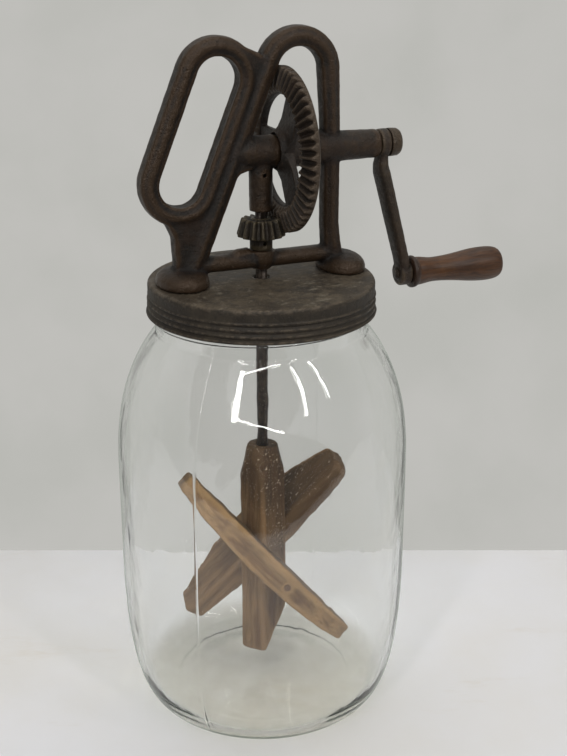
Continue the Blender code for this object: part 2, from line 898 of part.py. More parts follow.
def crank_arm():
    """The cast arm: an eye on the shaft, a bar that bends outwards, and an eye for the grip's pin."""
    eye_middle = arm_eye_start + arm_eye_thickness / 2
    foot_middle = arm_foot_start + arm_foot_thickness / 2
    path = [
        (0, eye_middle),
        (boss_end_radius + running_clearance, eye_middle),
        (arm_straight, eye_middle - arm_set),
        (crank_throw - arm_foot_radius, foot_middle - arm_set),
        (crank_throw, foot_middle),
    ]
    arm = swept_bar(
        "crank_arm", path, arm_half_thickness, arm_half_width, taper_shares=arm_taper_shares
    )
    eye = rod("arm_eye", arm_eye_radius, arm_eye_start, arm_eye_start + arm_eye_thickness)
    foot = rod(
        "arm_foot", arm_foot_radius, arm_foot_start, arm_foot_start + arm_foot_thickness,
        centre=(crank_throw, 0, 0),
    )
    arm = joined(arm, eye, foot)
    reach = arm_foot_start + arm_foot_thickness + cutter_margin
    start = arm_eye_start - cutter_margin
    bore = rod("arm_bore", crank_shaft_radius + pin_clearance, start, reach, fine_steps)
    pin_bore = rod(
        "arm_pin_bore", grip_pin_radius + pin_clearance, start, reach, fine_steps, centre=(crank_throw, 0, 0)
    )
    return cut(arm, bore, pin_bore)


def nut_washer():
    start, end = nut_washer_start, nut_washer_start + nut_washer_thickness
    return ring("nut_washer", crank_shaft_radius + pin_clearance, nut_washer_radius, start, end)


def crank_nut():
    """The round closed nut on the end of the crank shaft."""
    end = nut_start + nut_length
    profile = [(0, end), (nut_radius - nut_round * 2, end), (nut_radius - nut_round / 2, end - nut_round / 2)]
    profile += [(nut_radius, end - nut_round * 1.5), (nut_radius, nut_start), (0, nut_start)]
    nut = turned("crank_nut", profile, round_steps)
    bore = rod(
        "nut_bore", crank_shaft_radius + pin_clearance, nut_start - cutter_margin, crank_shaft_outer + gap,
        fine_steps,
    )
    return cut(nut, bore)


def grip_pin():
    """The pin that carries the grip, headed over on both ends."""
    tail = arm_foot_start - gap
    end = grip_start + grip_length + gap
    crown = end + grip_pin_nub_height
    profile = [(0, crown), (grip_pin_nub * grip_pin_crown_share, crown)]
    profile += [(grip_pin_nub, end + grip_pin_nub_height / 2), (grip_pin_nub, end), (grip_pin_radius, end)]
    profile += [(grip_pin_radius, tail), (grip_pin_head, tail)]
    profile += [(grip_pin_head * grip_pin_head_share, tail - grip_pin_head_height)]
    profile.append((0, tail - grip_pin_head_height))
    return moved(turned("grip_pin", profile, fine_steps), Matrix.Translation((crank_throw, 0, 0)))


def grip_outline():
    """Shares of the grip's length from its flange, and the radii there."""
    points = [(0, grip_flange), (grip_flange_share, grip_flange)]
    spans = [
        (grip_flange_share, grip_waist_share, grip_flange, grip_waist),
        (grip_waist_share, grip_belly_share, grip_waist, grip_belly),
    ]
    for start, end, first, last in spans:
        for i in range(1, grip_steps + 1):
            ease = (1 - math.cos(math.pi * i / grip_steps)) / 2
            points.append((start + (end - start) * i / grip_steps, first + (last - first) * ease))
    for i in range(1, grip_steps + 1):
        turn = math.pi / 2 * i / grip_steps
        share = grip_belly_share + (1 - grip_belly_share) * math.sin(turn)
        points.append((share, grip_end + (grip_belly - grip_end) * math.cos(turn)))
    return points


def wooden_grip():
    """The turned handle: a flange next to the arm, a waist, a full belly and a small end."""
    bore = grip_pin_radius + running_clearance
    profile = [(bore, grip_start), (bore, grip_start + grip_length)]
    profile += [(radius, grip_start + grip_length * share) for share, radius in reversed(grip_outline())]
    return turned("wooden_grip", profile, round_steps, ring=True)


# Dasher
def dasher_shaft():
    shaft = rod("dasher_shaft", dasher_shaft_radius, dasher_shaft_bottom, dasher_shaft_top, fine_steps)
    return cut(shaft, pinion_pin_hole(), post_pin_hole())


def post_pin_hole():
    return rod(
        "post_pin_hole", pin_radius + pin_clearance, -post_side, post_side, small_steps, ACROSS,
        (0, 0, post_pin_z),
    )


def post_reach():
    """Half the post's diagonal."""
    return post_side / math.sqrt(2)


def post_blank():
    shape = bmesh.new()
    bmesh.ops.create_cube(shape, size=1)
    mesh = bpy.data.meshes.new("dasher_post")
    shape.to_mesh(mesh)
    shape.free()
    post = link_mesh("dasher_post", mesh)
    moved(post, Matrix.Diagonal((post_side, post_side, post_top - post_bottom, 1)))
    moved(post, Matrix.Translation((0, 0, (post_top + post_bottom) / 2)))
    bevel = post.modifiers.new("Bevel", "BEVEL")
    bevel.width = post_edge
    bevel.segments = edge_steps
    return moved(baked(post), Matrix.Rotation(math.pi / 4, 4, "Z"))


def post_shaver():
    """The ring of wood that is whittled away round the post's top."""
    slope = (post_reach() - post_top_radius) / post_taper_height
    profile = [
        (post_top_radius - slope * cutter_margin, post_top + cutter_margin),
        (post_side, post_top + cutter_margin),
        (post_side, post_top - post_taper_height),
        (post_reach(), post_top - post_taper_height),
    ]
    return turned("post_shaver", profile, round_steps, ring=True)


def post_toe_cut():
    """The slanting cut at the foot of the post, on the right of its axis."""
    low, high = -overrun_share, 1 + overrun_share
    corners = [
        (post_reach() * low, post_bottom + post_toe_height * low),
        (post_reach() * high, post_bottom + post_toe_height * low),
        (post_reach() * high, post_bottom + post_toe_height * high),
    ]
    return plate("post_toe_cut", corners, 2 * post_side)


def post_heel_cut():
    """The lower slanting cut under the post's front corner."""
    low, high = -overrun_share, 1 + overrun_share
    corners = [
        (post_reach() * low, post_bottom + post_heel_height * low),
        (post_reach() * high, post_bottom + post_heel_height * low),
        (post_reach() * high, post_bottom + post_heel_height * high),
    ]
    heel = plate("post_heel_cut", corners, 2 * post_side)
    return moved(heel, Matrix.Rotation(-math.pi / 2, 4, "Z"))


def dasher_post():
    """A square wooden post with a corner to the front, notched on two sides for the blades."""
    bore_bottom = dasher_shaft_bottom - gap
    bore = rod(
        "post_bore", dasher_shaft_radius + pin_clearance, bore_bottom, post_top + cutter_margin, fine_steps
    )
    tools = [post_shaver(), post_toe_cut(), post_heel_cut(), bore, post_pin_hole()]
    for rear in (False, True):
        tools += [blade_slot(rear), nail_hole(rear)]
    return cut(post_blank(), *tools)


def blade_place(rear):
    """From a blade's own frame, with its length along X and its outer edge to -Y, to the dasher's."""
    turn = Matrix.Rotation(math.pi if rear else 0, 4, "Z")
    tilt = Matrix.Rotation(math.radians(blade_tilt), 4, "Y")
    roll = Matrix.Rotation(math.radians(-blade_roll), 4, "X")
    return Matrix.Translation((0, 0, blade_height)) @ turn @ tilt @ roll


def laid_flat():
    """Turns a shape drawn in the XZ plane to a blade's own frame."""
    return Matrix.Rotation(math.pi / 2, 4, "X")


def blade_stations():
    """Places along a blade, which lies a little towards its upper end, and how near each is to the middle."""
    shares = [1 - 2 * i / bend_steps for i in range(bend_steps + 1)]
    return [(blade_half_length * share - blade_shift, 1 - share**2) for share in shares]


def blade_edge_at(x):
    """How far the blade's outer edge is from the dasher's axis plane."""
    bow = (blade_middle_width - blade_end_width) * (1 - ((x + blade_shift) / blade_half_length) ** 2)
    return blade_inner + blade_end_width + bow


def blade_outline():
    start, end = -blade_half_length - blade_shift, blade_half_length - blade_shift
    outline = [(start, blade_inner), (end, blade_inner)]
    return outline + [(x, blade_edge_at(x)) for x, _ in blade_stations()]


def blade_hollow():
    """What is planed off a blade's underside, which is thickest at the middle."""
    half, thinning = blade_thickness / 2, blade_thickness - blade_end_thickness
    outline = [(x, thinning * (1 - middle) - half) for x, middle in blade_stations()]
    start, end = outline[-1][0] - cutter_margin, outline[0][0] + cutter_margin
    outline += [(start, outline[-1][1]), (start, -half - cutter_margin)]
    outline += [(end, -half - cutter_margin), (end, outline[0][1])]
    return plate("blade_hollow", outline, 4 * blade_middle_width)


def blade(name, rear):
    """A sloping board let into the post: straight at its inner edge, bowed along its outer edge."""
    outline = rounded_outline(blade_outline(), blade_round, edge_steps + 1)
    board = plate(name, outline, blade_thickness, blade_edge, 1)
    moved(board, laid_flat())
    board = cut(board, blade_hollow())
    moved(board, blade_place(rear))
    return cut(board, nail_hole(rear))


def blade_slot(rear):
    reach = post_side * slot_share
    inner = blade_inner - gap
    outline = [(-reach, inner), (reach, inner), (reach, reach), (-reach, reach)]
    slot = plate("blade_slot", outline, blade_thickness + 2 * gap)
    return moved(slot, blade_place(rear) @ laid_flat())


def nail_matrix(rear):
    return blade_place(rear) @ Matrix.Translation((nail_place, 0, 0)) @ laid_flat()


def nail_hole(rear):
    radius = nail_radius + pin_clearance
    outer = blade_edge_at(nail_place) + cutter_margin
    return moved(rod("nail_hole", radius, -nail_tip - gap, outer, small_steps), nail_matrix(rear))


def blade_nail(name, rear):
    """A nail from a blade's outer edge through its width into the post."""
    seat = blade_edge_at(nail_place) + gap
    profile = [(0, seat + nail_head_height), (nail_head, seat + nail_head_height), (nail_head, seat)]
    profile += [(nail_radius, seat), (nail_radius, -nail_tip), (0, -nail_tip)]
    return moved(turned(name, profile, small_steps), nail_matrix(rear))


def axis_empty(name, place, turn=(0, 0, 0), parent=None):
    empty = bpy.data.objects.new(name, None)
    empty.empty_display_type = "SINGLE_ARROW"
    empty.location = place
    empty.rotation_euler = turn
    empty.parent = parent
    churn.objects.link(empty)
    return empty


def finish(item, material, parent=None):
    item.parent = parent
    item.data.materials.append(material)
    item.data.shade_smooth()
    item.data.set_sharp_from_angle(angle=math.radians(smooth_angle))


iron = new_material("cast_iron", iron_colour, iron_roughness, 1)
tin = new_material("tin", tin_colour, tin_roughness, 1)
glass = new_material("glass", glass_colour, glass_roughness, 0, transmission=1)
dasher_wood = new_material("dasher_wood", wood_colour, wood_roughness, 0)
grip_wood = new_material("grip_wood", grip_colour, grip_roughness, 0)
steel = new_material("steel", steel_colour, steel_roughness, 1)

head = axis_empty("head", (0, 0, 0))
crank_axis = axis_empty("crank_axis", (0, 0, crank_height), (0, math.pi / 2, 0), head)
grip_axis = axis_empty("grip_axis", (crank_throw, 0, 0), parent=crank_axis)
dasher_axis = axis_empty("dasher_axis", (0, 0, 0), (0, 0, math.radians(dasher_rest_turn)), head)

finish(glass_jar(), glass)

finish(tin_lid(), tin, head)
finish(cast_frame(), iron, head)
for number, (x, y) in enumerate(screw_places(), 1):
    finish(foot_screw(f"foot_screw_{number}", x, y), steel, head)
    finish(foot_washer(f"foot_washer_{number}", x, y), steel, head)

finish(crank_shaft(), steel, crank_axis)
finish(drive_gear(), iron, crank_axis)
finish(cross_pin("gear_pin", gear_hub_radius, gear_pin_x), steel, crank_axis)
finish(gear_spacer(), steel, crank_axis)
finish(crank_arm(), iron, crank_axis)
finish(nut_washer(), steel, crank_axis)
finish(crank_nut(), steel, crank_axis)
finish(grip_pin(), steel, crank_axis)

finish(wooden_grip(), grip_wood, grip_axis)

finish(dasher_shaft(), steel, dasher_axis)
finish(pinion(), iron, dasher_axis)
finish(cross_pin("pinion_pin", pinion_hub_radius, pinion_pin_z), steel, dasher_axis)
finish(dasher_post(), dasher_wood, dasher_axis)
finish(cross_pin("post_pin", post_pin_half, post_pin_z), steel, dasher_axis)
finish(blade("front_blade", False), dasher_wood, dasher_axis)
finish(blade("rear_blade", True), dasher_wood, dasher_axis)
finish(blade_nail("front_nail", False), steel, dasher_axis)
finish(blade_nail("rear_nail", True), steel, dasher_axis)
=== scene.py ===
# Hand cranked butter churn: a glass jar with a tin cap, a cast iron frame and a wooden dasher.
from math import acos, asin, atan2, copysign, cos, exp, hypot, pi, radians, sin, tan, tau

import bmesh
import bpy
import numpy as np
from mathutils import Matrix, Vector, noise


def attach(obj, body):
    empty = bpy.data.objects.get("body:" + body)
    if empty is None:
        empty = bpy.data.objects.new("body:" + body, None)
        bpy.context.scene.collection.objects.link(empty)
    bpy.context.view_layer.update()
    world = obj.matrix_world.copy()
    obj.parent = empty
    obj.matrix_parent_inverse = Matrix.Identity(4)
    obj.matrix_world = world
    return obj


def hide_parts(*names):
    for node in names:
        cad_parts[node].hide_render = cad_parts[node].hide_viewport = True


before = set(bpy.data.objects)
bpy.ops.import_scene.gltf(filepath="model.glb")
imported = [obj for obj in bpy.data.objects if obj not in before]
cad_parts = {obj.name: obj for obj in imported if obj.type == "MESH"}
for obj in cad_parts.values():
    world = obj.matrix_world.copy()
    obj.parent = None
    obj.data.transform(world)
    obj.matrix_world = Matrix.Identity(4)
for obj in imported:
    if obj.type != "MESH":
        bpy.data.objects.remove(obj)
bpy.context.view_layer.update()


# Table, wall, light and camera: a pale table top that ends at a soft grey wall, in daylight from the left.
# The table is a slab with a rounded edge. The world gives the wall's even grey and a darker room in front.
class Shade:
    """A node's output that takes part in sums like a number."""

    def __init__(self, nodes, socket):
        self.nodes = nodes
        self.socket = socket

    def sum(self, operation, first, second):
        return self.nodes.add("ShaderNodeMath", {"operation": operation}, {0: first, 1: second})

    def __add__(self, other):
        return self.sum("ADD", self, other)

    def __radd__(self, other):
        return self.sum("ADD", other, self)

    def __sub__(self, other):
        return self.sum("SUBTRACT", self, other)

    def __rsub__(self, other):
        return self.sum("SUBTRACT", other, self)

    def __mul__(self, other):
        return self.sum("MULTIPLY", self, other)

    def __rmul__(self, other):
        return self.sum("MULTIPLY", other, self)

    def part(self, name):
        """One axis of a direction or a place."""
        return self.nodes.add("ShaderNodeSeparateXYZ", {}, {0: self}, name)


class Nodes:
    """A node tree that is put together one node at a time."""

    def __init__(self, owner, coordinates):
        owner.use_nodes = True
        self.owner = owner
        self.tree = owner.node_tree
        self.tree.nodes.clear()
        self.place = self.add("ShaderNodeTexCoord", {}, {}, coordinates)

    def add(self, kind, settings, sockets, output=0):
        """Adds a node: its settings first, then a value or a link for each socket."""
        node = self.tree.nodes.new(kind)
        for name, value in settings.items():
            setattr(node, name, value)
        for name, value in sockets.items():
            if isinstance(value, Shade):
                self.tree.links.new(value.socket, node.inputs[name])
            else:
                node.inputs[name].default_value = value
        return Shade(self, node.outputs[output]) if node.outputs else None

    def framed(self, size, stretch=(1, 1, 1), turn=(0, 0, 0), centre=(0, 0, 0)):
        """Coordinates in units of a size in millimetres, stretched along turned axes from a centre."""
        scale = tuple(size / 1000 * share for share in stretch)
        sockets = {"Vector": self.place, "Location": centre, "Rotation": turn, "Scale": scale}
        return self.add("ShaderNodeMapping", {"vector_type": "TEXTURE"}, sockets)

    def noise(self, size, detail=4, rough=0.55, stretch=(1, 1, 1), turn=(0, 0, 0), warp=0):
        """Soft noise from 0 to 1 with blotches of the size in millimetres."""
        place = self.framed(size, stretch, turn)
        sockets = {"Vector": place, "Scale": 1, "Detail": detail, "Roughness": rough, "Distortion": warp}
        return self.add("ShaderNodeTexNoise", {}, sockets)

    def cells(self, size):
        """Distance to the nearest of scattered points, about 0 to 1."""
        return self.add("ShaderNodeTexVoronoi", {}, {"Vector": self.framed(size), "Scale": 1})

    def ease(self, value, low, high, first=0, last=1):
        """A soft step from first to last as the value goes from low to high."""
        sockets = {"Value": value, "From Min": low, "From Max": high, "To Min": first, "To Max": last}
        return self.add("ShaderNodeMapRange", {"interpolation_type": "SMOOTHSTEP"}, sockets)

    def blend(self, factor, first, last):
        return self.add("ShaderNodeMix", {"data_type": "RGBA"}, {0: factor, 6: first, 7: last}, 2)

    def layered(self, base, *layers):
        """A screen colour with layers of (factor, screen colour) laid over it one by one."""
        colour = srgb(*base)
        for factor, top in layers:
            colour = self.blend(factor, colour, srgb(*top))
        return colour

    def relief(self):
        """The height over the smoothed surface that shape_relief keeps, in millimetres."""
        return self.add("ShaderNodeAttribute", {"attribute_name": "relief"}, {}, 2)

    def bump(self, height, depth, strength):
        """A surface direction from a height of 0 to 1 and its depth in millimetres."""
        sockets = {"Height": height, "Distance": depth / 1000, "Strength": strength}
        return self.add("ShaderNodeBump", {}, sockets)

    def axis(self, name):
        return self.place.part(name)

    def surface(self, **sockets):
        """Ends the material in one principled shader and gives the material."""
        named = {name.replace("_", " "): value for name, value in sockets.items()}
        shader = self.add("ShaderNodeBsdfPrincipled", {}, named)
        self.add("ShaderNodeOutputMaterial", {}, {"Surface": shader})
        return self.owner


def srgb(red, green, blue):
    """A linear colour from screen values of 0 to 255."""
    shares = [value / 255 for value in (red, green, blue)]
    linear = [share / 12.92 if share < 0.04045 else ((share + 0.055) / 1.055) ** 2.4 for share in shares]
    return (*linear, 1)


def new_material(name):
    return Nodes(bpy.data.materials.new(name), "Object")


def link(name, data):
    item = bpy.data.objects.new(name, data)
    bpy.context.scene.collection.objects.link(item)
    return item


def close_up(shape, name):
    """Turns a bmesh into a smooth-shaded mesh with merged points and outward faces."""
    bmesh.ops.remove_doubles(shape, verts=shape.verts, dist=0.0000005)
    bmesh.ops.recalc_face_normals(shape, faces=shape.faces)
    for face in shape.faces:
        face.smooth = True
    mesh = bpy.data.meshes.new(name)
    shape.to_mesh(mesh)
    shape.free()
    return mesh


heading = radians(22.468)
wall_distance = 0.155
table_half_width = 1.6
table_reach = 0.335
table_thickness = 0.03
table_gap = 0.0002
table_colour = srgb(230, 230, 234)
table_stain = srgb(226, 224, 222)
table_smear = srgb(214, 206, 195)
wall_colour = srgb(185, 185, 180)
wall_light = srgb(192, 191, 187)
room_colour = srgb(108, 108, 106)

shape = bmesh.new()
corners = ((-1, -table_reach), (1, -table_reach), (1, wall_distance), (-1, wall_distance))
rings = []
for z in (-table_gap, -table_thickness):
    rings.append([shape.verts.new((x * table_half_width, y, z)) for x, y in corners])
shape.faces.new(rings[0])
shape.faces.new(rings[1])
for i in range(4):
    shape.faces.new((rings[0][i], rings[0][i - 1], rings[1][i - 1], rings[1][i]))
bmesh.ops.rotate(shape, verts=shape.verts, matrix=Matrix.Rotation(-heading, 3, "Z"))
bmesh.ops.bevel(shape, geom=shape.edges, offset=0.0015, segments=3, affect="EDGES")
table = link("table", close_up(shape, "table"))
table.data.shade_flat()
paint = new_material("table_paint")
blotches = paint.noise(180, 5)
brushed = paint.noise(12, 3, stretch=(6, 1, 1))
smears = paint.ease(paint.noise(60, 6, 0.68, stretch=(3, 1, 1), turn=(0, 0, -heading)), 0.56, 0.74)
top = paint.blend(paint.ease(blotches, 0.35, 0.75), table_colour, table_stain)
table.data.materials.append(
    paint.surface(
        Base_Color=paint.blend(smears * 0.7, top, table_smear),
        Roughness=paint.ease(blotches, 0.2, 0.8, 0.62, 0.78),
        Specular_IOR_Level=0.25,
        Normal=paint.bump(brushed, 0.1, 0.4),
    )
)

world = Nodes(bpy.data.worlds.new("room"), "Generated")
facing = world.add(
    "ShaderNodeVectorMath",
    {"operation": "DOT_PRODUCT"},
    {0: world.place, 1: (sin(heading), cos(heading), -0.25)},
    "Value",
)
plaster = world.add("ShaderNodeTexNoise", {}, {"Vector": world.place, "Scale": 9.0, "Detail": 5.0})
wall = world.blend(world.ease(plaster, 0.3, 0.7), wall_colour, wall_light)
sky = world.blend(world.ease(facing, -0.35, 0.25), room_colour, wall)
background = world.add("ShaderNodeBackground", {}, {"Color": sky, "Strength": 1.0})
world.add("ShaderNodeOutputWorld", {}, {"Surface": background})
scene = bpy.context.scene
scene.world = world.owner
scene.view_settings.view_transform = "Standard"

lamp_distance = 1.75
lamp_aim = Vector((0, 0, 0.2))
day = (1.0, 0.99, 0.97)
for name, bearing, rise, roll, size, power in (
    ("window_side", -134, 35, 0, (0.12, 1.1), 8.0),
    ("window_head", -113, 55, 17, (0.88, 0.03), 2.5),
    ("window_sill", -113, 15, -15, (1.15, 0.03), 2.5),
    ("window_middle", -74, 35, 0, (0.06, 1.1), 6.0),
    ("window_far", -50, 36, 0, (0.026, 0.85), 3.0),
    ("ceiling", 60, 82, 0, (1.5, 1.5), 9.8),
):
    turn, lift = radians(bearing), radians(rise)
    away = Vector((cos(turn) * cos(lift), sin(turn) * cos(lift), sin(lift)))
    lamp = bpy.data.lights.new(name, "AREA")
    lamp.shape = "RECTANGLE"
    lamp.size, lamp.size_y = size
    lamp.energy = power
    lamp.color = day
    holder = link(name, lamp)
    holder.location = lamp_aim + away * lamp_distance
    rolled = Matrix.Rotation(radians(roll), 4, "Z")
    holder.rotation_euler = (away.to_track_quat("Z", "Y").to_matrix().to_4x4() @ rolled).to_euler()

camera_lens = 58.69
camera_place = (-0.2303, -0.5876, 0.4273)
camera_tilt = radians(69.365)
camera_data = bpy.data.cameras.new("camera")
camera = link("camera", camera_data)
camera_data.sensor_width = 36
camera_data.lens = camera_lens
camera.location = camera_place
camera.rotation_euler = (camera_tilt, 0, -heading)
scene.camera = camera


# Glass jar: a blown bottle glass jar with a full shoulder, a drawn-in heel and a threaded neck.
# Turned outside and inside in one closed shape, with the thread and the two mould seams raised on it.
def lathe(name, profile, angles, shape_at=None):
    """A closed profile of (radius, z) turned about Z. shape_at may move each point outwards or up."""
    shape = bmesh.new()
    rings = []
    for angle in angles:
        ring = []
        for radius, z in profile:
            r, high = shape_at(radius, z, angle) if shape_at else (radius, z)
            ring.append(shape.verts.new((r * cos(angle), r * sin(angle), high)))
        rings.append(ring)
    for here, there in zip(rings, rings[1:] + rings[:1]):
        for i in range(len(profile)):
            shape.faces.new((here[i - 1], there[i - 1], there[i], here[i]))
    bmesh.ops.dissolve_degenerate(shape, dist=0.0000002, edges=shape.edges)
    return close_up(shape, name)


def around(steps):
    return [tau * i / steps for i in range(steps)]


jar_radius = 0.08
jar_wall = 0.0032
jar_floor = 0.0044
heel_height = 0.087
heel_inset = 0.02
heel_power = 2.37
shoulder_start = 0.1388
shoulder_length = 0.0872
shoulder_inner = 0.05
shoulder_power = 2.61
shoulder_ease = 1.2
neck_radius = 0.057
neck_start = 0.2197
jar_rim = 0.246
rim_round = 0.0014
push_up = 0.0011
mould_ring = 0.0492
seam_angle = radians(223.0)
seam_height = 0.00022
seam_half = 0.00042
thread_low = 0.2244
thread_pitch = 0.0056
thread_height = 0.0013
thread_half = 0.0017


def drawn(base, *points):
    """An outline of (across, up) points in millimetres over a base height in metres."""
    return [(across / 1000, base + up / 1000) for across, up in points]


def arc(centre, radius, start, end, steps, height=None):
    """Points round a centre, on a circle or on an oval of another height."""
    angles = [start + (end - start) * i / steps for i in range(steps + 1)]
    return [(centre[0] + radius * cos(a), centre[1] + (height or radius) * sin(a)) for a in angles]


def jar_outer_at(z):
    """The jar's outside radius at a height, without its thread and seams."""
    if z < heel_height:
        share = 1 - max(0, z) / heel_height
        return jar_radius - heel_inset * (1 - (1 - share**heel_power) ** (1 / heel_power))
    if z < shoulder_start:
        return jar_radius
    if z < neck_start:
        share = (z - shoulder_start) / shoulder_length
        spread = (1 - share**shoulder_power) ** (1 / shoulder_ease)
        return shoulder_inner + (jar_radius - shoulder_inner) * spread
    return neck_radius


jar_outside = drawn(push_up, (0, 0), (17, 0))
for i in range(25):
    share = i / 24
    jar_outside.append((0.034 + 0.018 * share, push_up * (1 + cos(pi * share)) / 2))
jar_outside += drawn(0, (53.6, 0), (55.3, 0.1), (57.4, 0.2))
levels = [heel_height * (i / 40) ** 2 for i in range(1, 40)]
levels += [heel_height + (shoulder_start - heel_height) * i / 5 for i in range(5)]
levels += [shoulder_start + (neck_start - shoulder_start) * (1 - (1 - i / 60) ** 1.5) for i in range(60)]
levels += [neck_start + (jar_rim - rim_round - neck_start) * i / 44 for i in range(45)]
jar_outside += [(jar_outer_at(z), z) for z in levels]

jar_inside = []
for before, spot, after in zip(jar_outside, jar_outside[1:], jar_outside[2:]):
    along = Vector(after) - Vector(before)
    if spot[0] > 0.055 and along.length >= 0.00001:
        along.normalize()
        room = jar_floor + (jar_wall - jar_floor) * min(1, spot[1] / 0.018)
        jar_inside.append((spot[0] - along.y * room, spot[1] + along.x * room))
jar_inside = drawn(jar_inside[0][1], (0, 0), (20, 0), (40, 0)) + jar_inside[::2]
jar_inside = [point for point in jar_inside if point[1] < jar_rim - rim_round * 1.2]
jar_inside.append((neck_radius - jar_wall, jar_rim - rim_round))
rim_middle = (neck_radius - jar_wall / 2, jar_rim - rim_round)
jar_rim_arc = arc(rim_middle, jar_wall / 2, 0, pi, 8, rim_round)[1:-1]


def jar_relief(radius, z, angle):
    """Raises the thread on the neck and the mould seams on the body."""
    if radius < 0.0535 and z < push_up + 0.0001:
        return radius, z + 0.0003 * exp(-(((radius - mould_ring) / 0.0015) ** 2))
    if radius < neck_radius - jar_wall * 0.4 and z > neck_start - 0.001 or radius < 0.04:
        return radius, z
    rise = 0
    if radius > neck_radius - 0.0001 and z > neck_start:
        for lap in range(4):
            level = thread_low + thread_pitch * (lap + angle / tau)
            start = min(1, (lap + angle / tau) / 0.25)
            swell = max(0, 1 - ((z - level) / thread_half) ** 2)
            rise += thread_height * start * swell**1.5 if level < jar_rim - 0.0035 else 0
    for seam in (seam_angle, seam_angle - pi):
        aside = sin(angle - seam) * radius
        if abs(aside) < 0.004 and cos(angle - seam) > 0 and radius > jar_outer_at(z) - 0.0006:
            rise += seam_height * exp(-((aside / seam_half) ** 2)) * min(1, z / 0.004)
    return radius + rise, z


jar_angles = around(180)
for seam in (seam_angle, seam_angle - pi):
    jar_angles += [seam + radians(step * 0.16) for step in range(-7, 8)]
jar_angles = sorted({round(angle, 6) for angle in jar_angles})
jar_profile = jar_outside + jar_rim_arc + jar_inside[::-1]
jar = link("jar_glass", lathe("jar_glass", jar_profile, jar_angles, jar_relief))

glass = new_material("jar_glass")
ripple = glass.noise(34, 3, 0.45, stretch=(1, 1, 1.8))
seeds = glass.cells(4.5)
haze = glass.noise(20, 6, 0.62)
low = glass.ease(glass.axis("Z"), 0.015, 0.005)
# Over the jar's floor the base colour is darkened and mottled: painted shade for the shaded table seen
# through it.
floor_painted_shade = low * glass.ease(glass.noise(11, 5, 0.6), 0.25, 0.6, 0.66, 1.0)
height = ripple + glass.ease(seeds, 0.0, 0.11, 0.02, 0)
clear = glass.add(
    "ShaderNodeBsdfPrincipled",
    {},
    {
        "Base Color": glass.blend(floor_painted_shade, (1, 1, 1, 1), (0.775, 0.755, 0.715, 1)),
        "Roughness": glass.ease(haze, 0.45, 0.8, 0.012, 0.06),
        "IOR": 1.5,
        "Transmission Weight": 1.0,
        "Normal": glass.bump(height, 1.1, 0.55),
    },
)
edge = glass.ease(glass.add("ShaderNodeLayerWeight", {}, {0: 0.5}, "Facing"), 0.7, 0.98, 0, 0.55)
dull = glass.add("ShaderNodeBsdfDiffuse", {}, {"Color": (0.42, 0.48, 0.43, 1)})
clear = glass.add("ShaderNodeMixShader", {}, {0: edge, 1: clear, 2: dull})
through = glass.add("ShaderNodeBsdfTransparent", {}, {"Color": (0.865, 0.865, 0.85, 1)})
shadow = glass.add("ShaderNodeLightPath", {}, {}, "Is Shadow Ray")
mixed = glass.add("ShaderNodeMixShader", {}, {0: shadow, 1: clear, 2: through})
tint = glass.add("ShaderNodeVolumeAbsorption", {}, {"Color": (0.83, 0.87, 0.84, 1), "Density": 42.0})
glass.add("ShaderNodeOutputMaterial", {}, {"Surface": mixed, "Volume": tint})
jar.data.materials.append(glass.owner)
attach(jar, "jar")
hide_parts("glass_jar")


# Tin cap: a stamped and tinned steel screw cap, worn brown. Its skirt has a plain band over slanting ridges.
# Turned as one closed sheet with a beaded lip, dented slightly on top, with its holes cut through.
def bored(item, *tools):
    """Cuts closed tools out of a closed piece."""
    for tool in tools:
        cutter = item.modifiers.new("cut", "BOOLEAN")
        cutter.operation = "DIFFERENCE"
        cutter.solver = "MANIFOLD"
        cutter.object = tool
        settle(item)
        bpy.data.objects.remove(tool)


def settle(item):
    """Turns a piece's modifiers into its plain mesh."""
    ready = bpy.context.evaluated_depsgraph_get()
    mesh = bpy.data.meshes.new_from_object(item.evaluated_get(ready))
    item.modifiers.clear()
    item.data = mesh


def turned(name, outline, place=Matrix(), steps=48, shape_at=None):
    """A turned piece, set in its place."""
    mesh = lathe(name, outline, around(steps), shape_at)
    mesh.transform(place)
    return link(name, mesh)


def peg(radius, start, end, place=Matrix(), steps=32):
    """A round bar from start to end along Z, for a hole."""
    return turned("peg", [(0, start), (radius, start), (radius, end), (0, end)], place, steps)


def dress(item, material, rounds=0):
    """Gives a piece its one material, and its relief where the material reads it."""
    if rounds:
        shape_relief(item.data, rounds)
    item.data.materials.clear()
    item.data.materials.append(material)


lid_top = 0.247326
lid_height = 0.0179
lid_sheet = 0.0009
lid_radius = 0.0604
lid_corner = 0.0024
lid_lip = 0.0009
lid_ridge = 0.00058
lid_ridge_pitch = 0.0034
lid_band = 0.0064
lid_hole_radius = 0.0047
foot_left = 0.0439
foot_right = 0.046
screw_offset = 0.01
screw_hole_radius = 0.0021

lid_low = lid_top - lid_height
lid_outline = drawn(lid_top, (0, 0), (4, 0), (5.4, 0), (6.4, 0), (7.6, 0))
lid_outline += [(0.01 + 0.047 * i / 30, lid_top) for i in range(29)]
lid_outline += arc((lid_radius - lid_corner, lid_top - lid_corner), lid_corner, pi / 2, 0, 8)
lid_outline += [(lid_radius, lid_top - lid_corner - i * 0.00047) for i in range(1, 29)]
lid_outline += arc((lid_radius + 0.0002, lid_low + lid_lip), lid_lip, pi / 2, -pi / 2, 6)
lid_inner = lid_radius - lid_sheet * 1.7
lid_inside = [(0, lid_top - lid_sheet), (lid_radius - lid_corner, lid_top - lid_sheet)]
lid_inside += [(lid_inner, lid_top - lid_corner), (lid_inner, lid_low + 0.0006)]


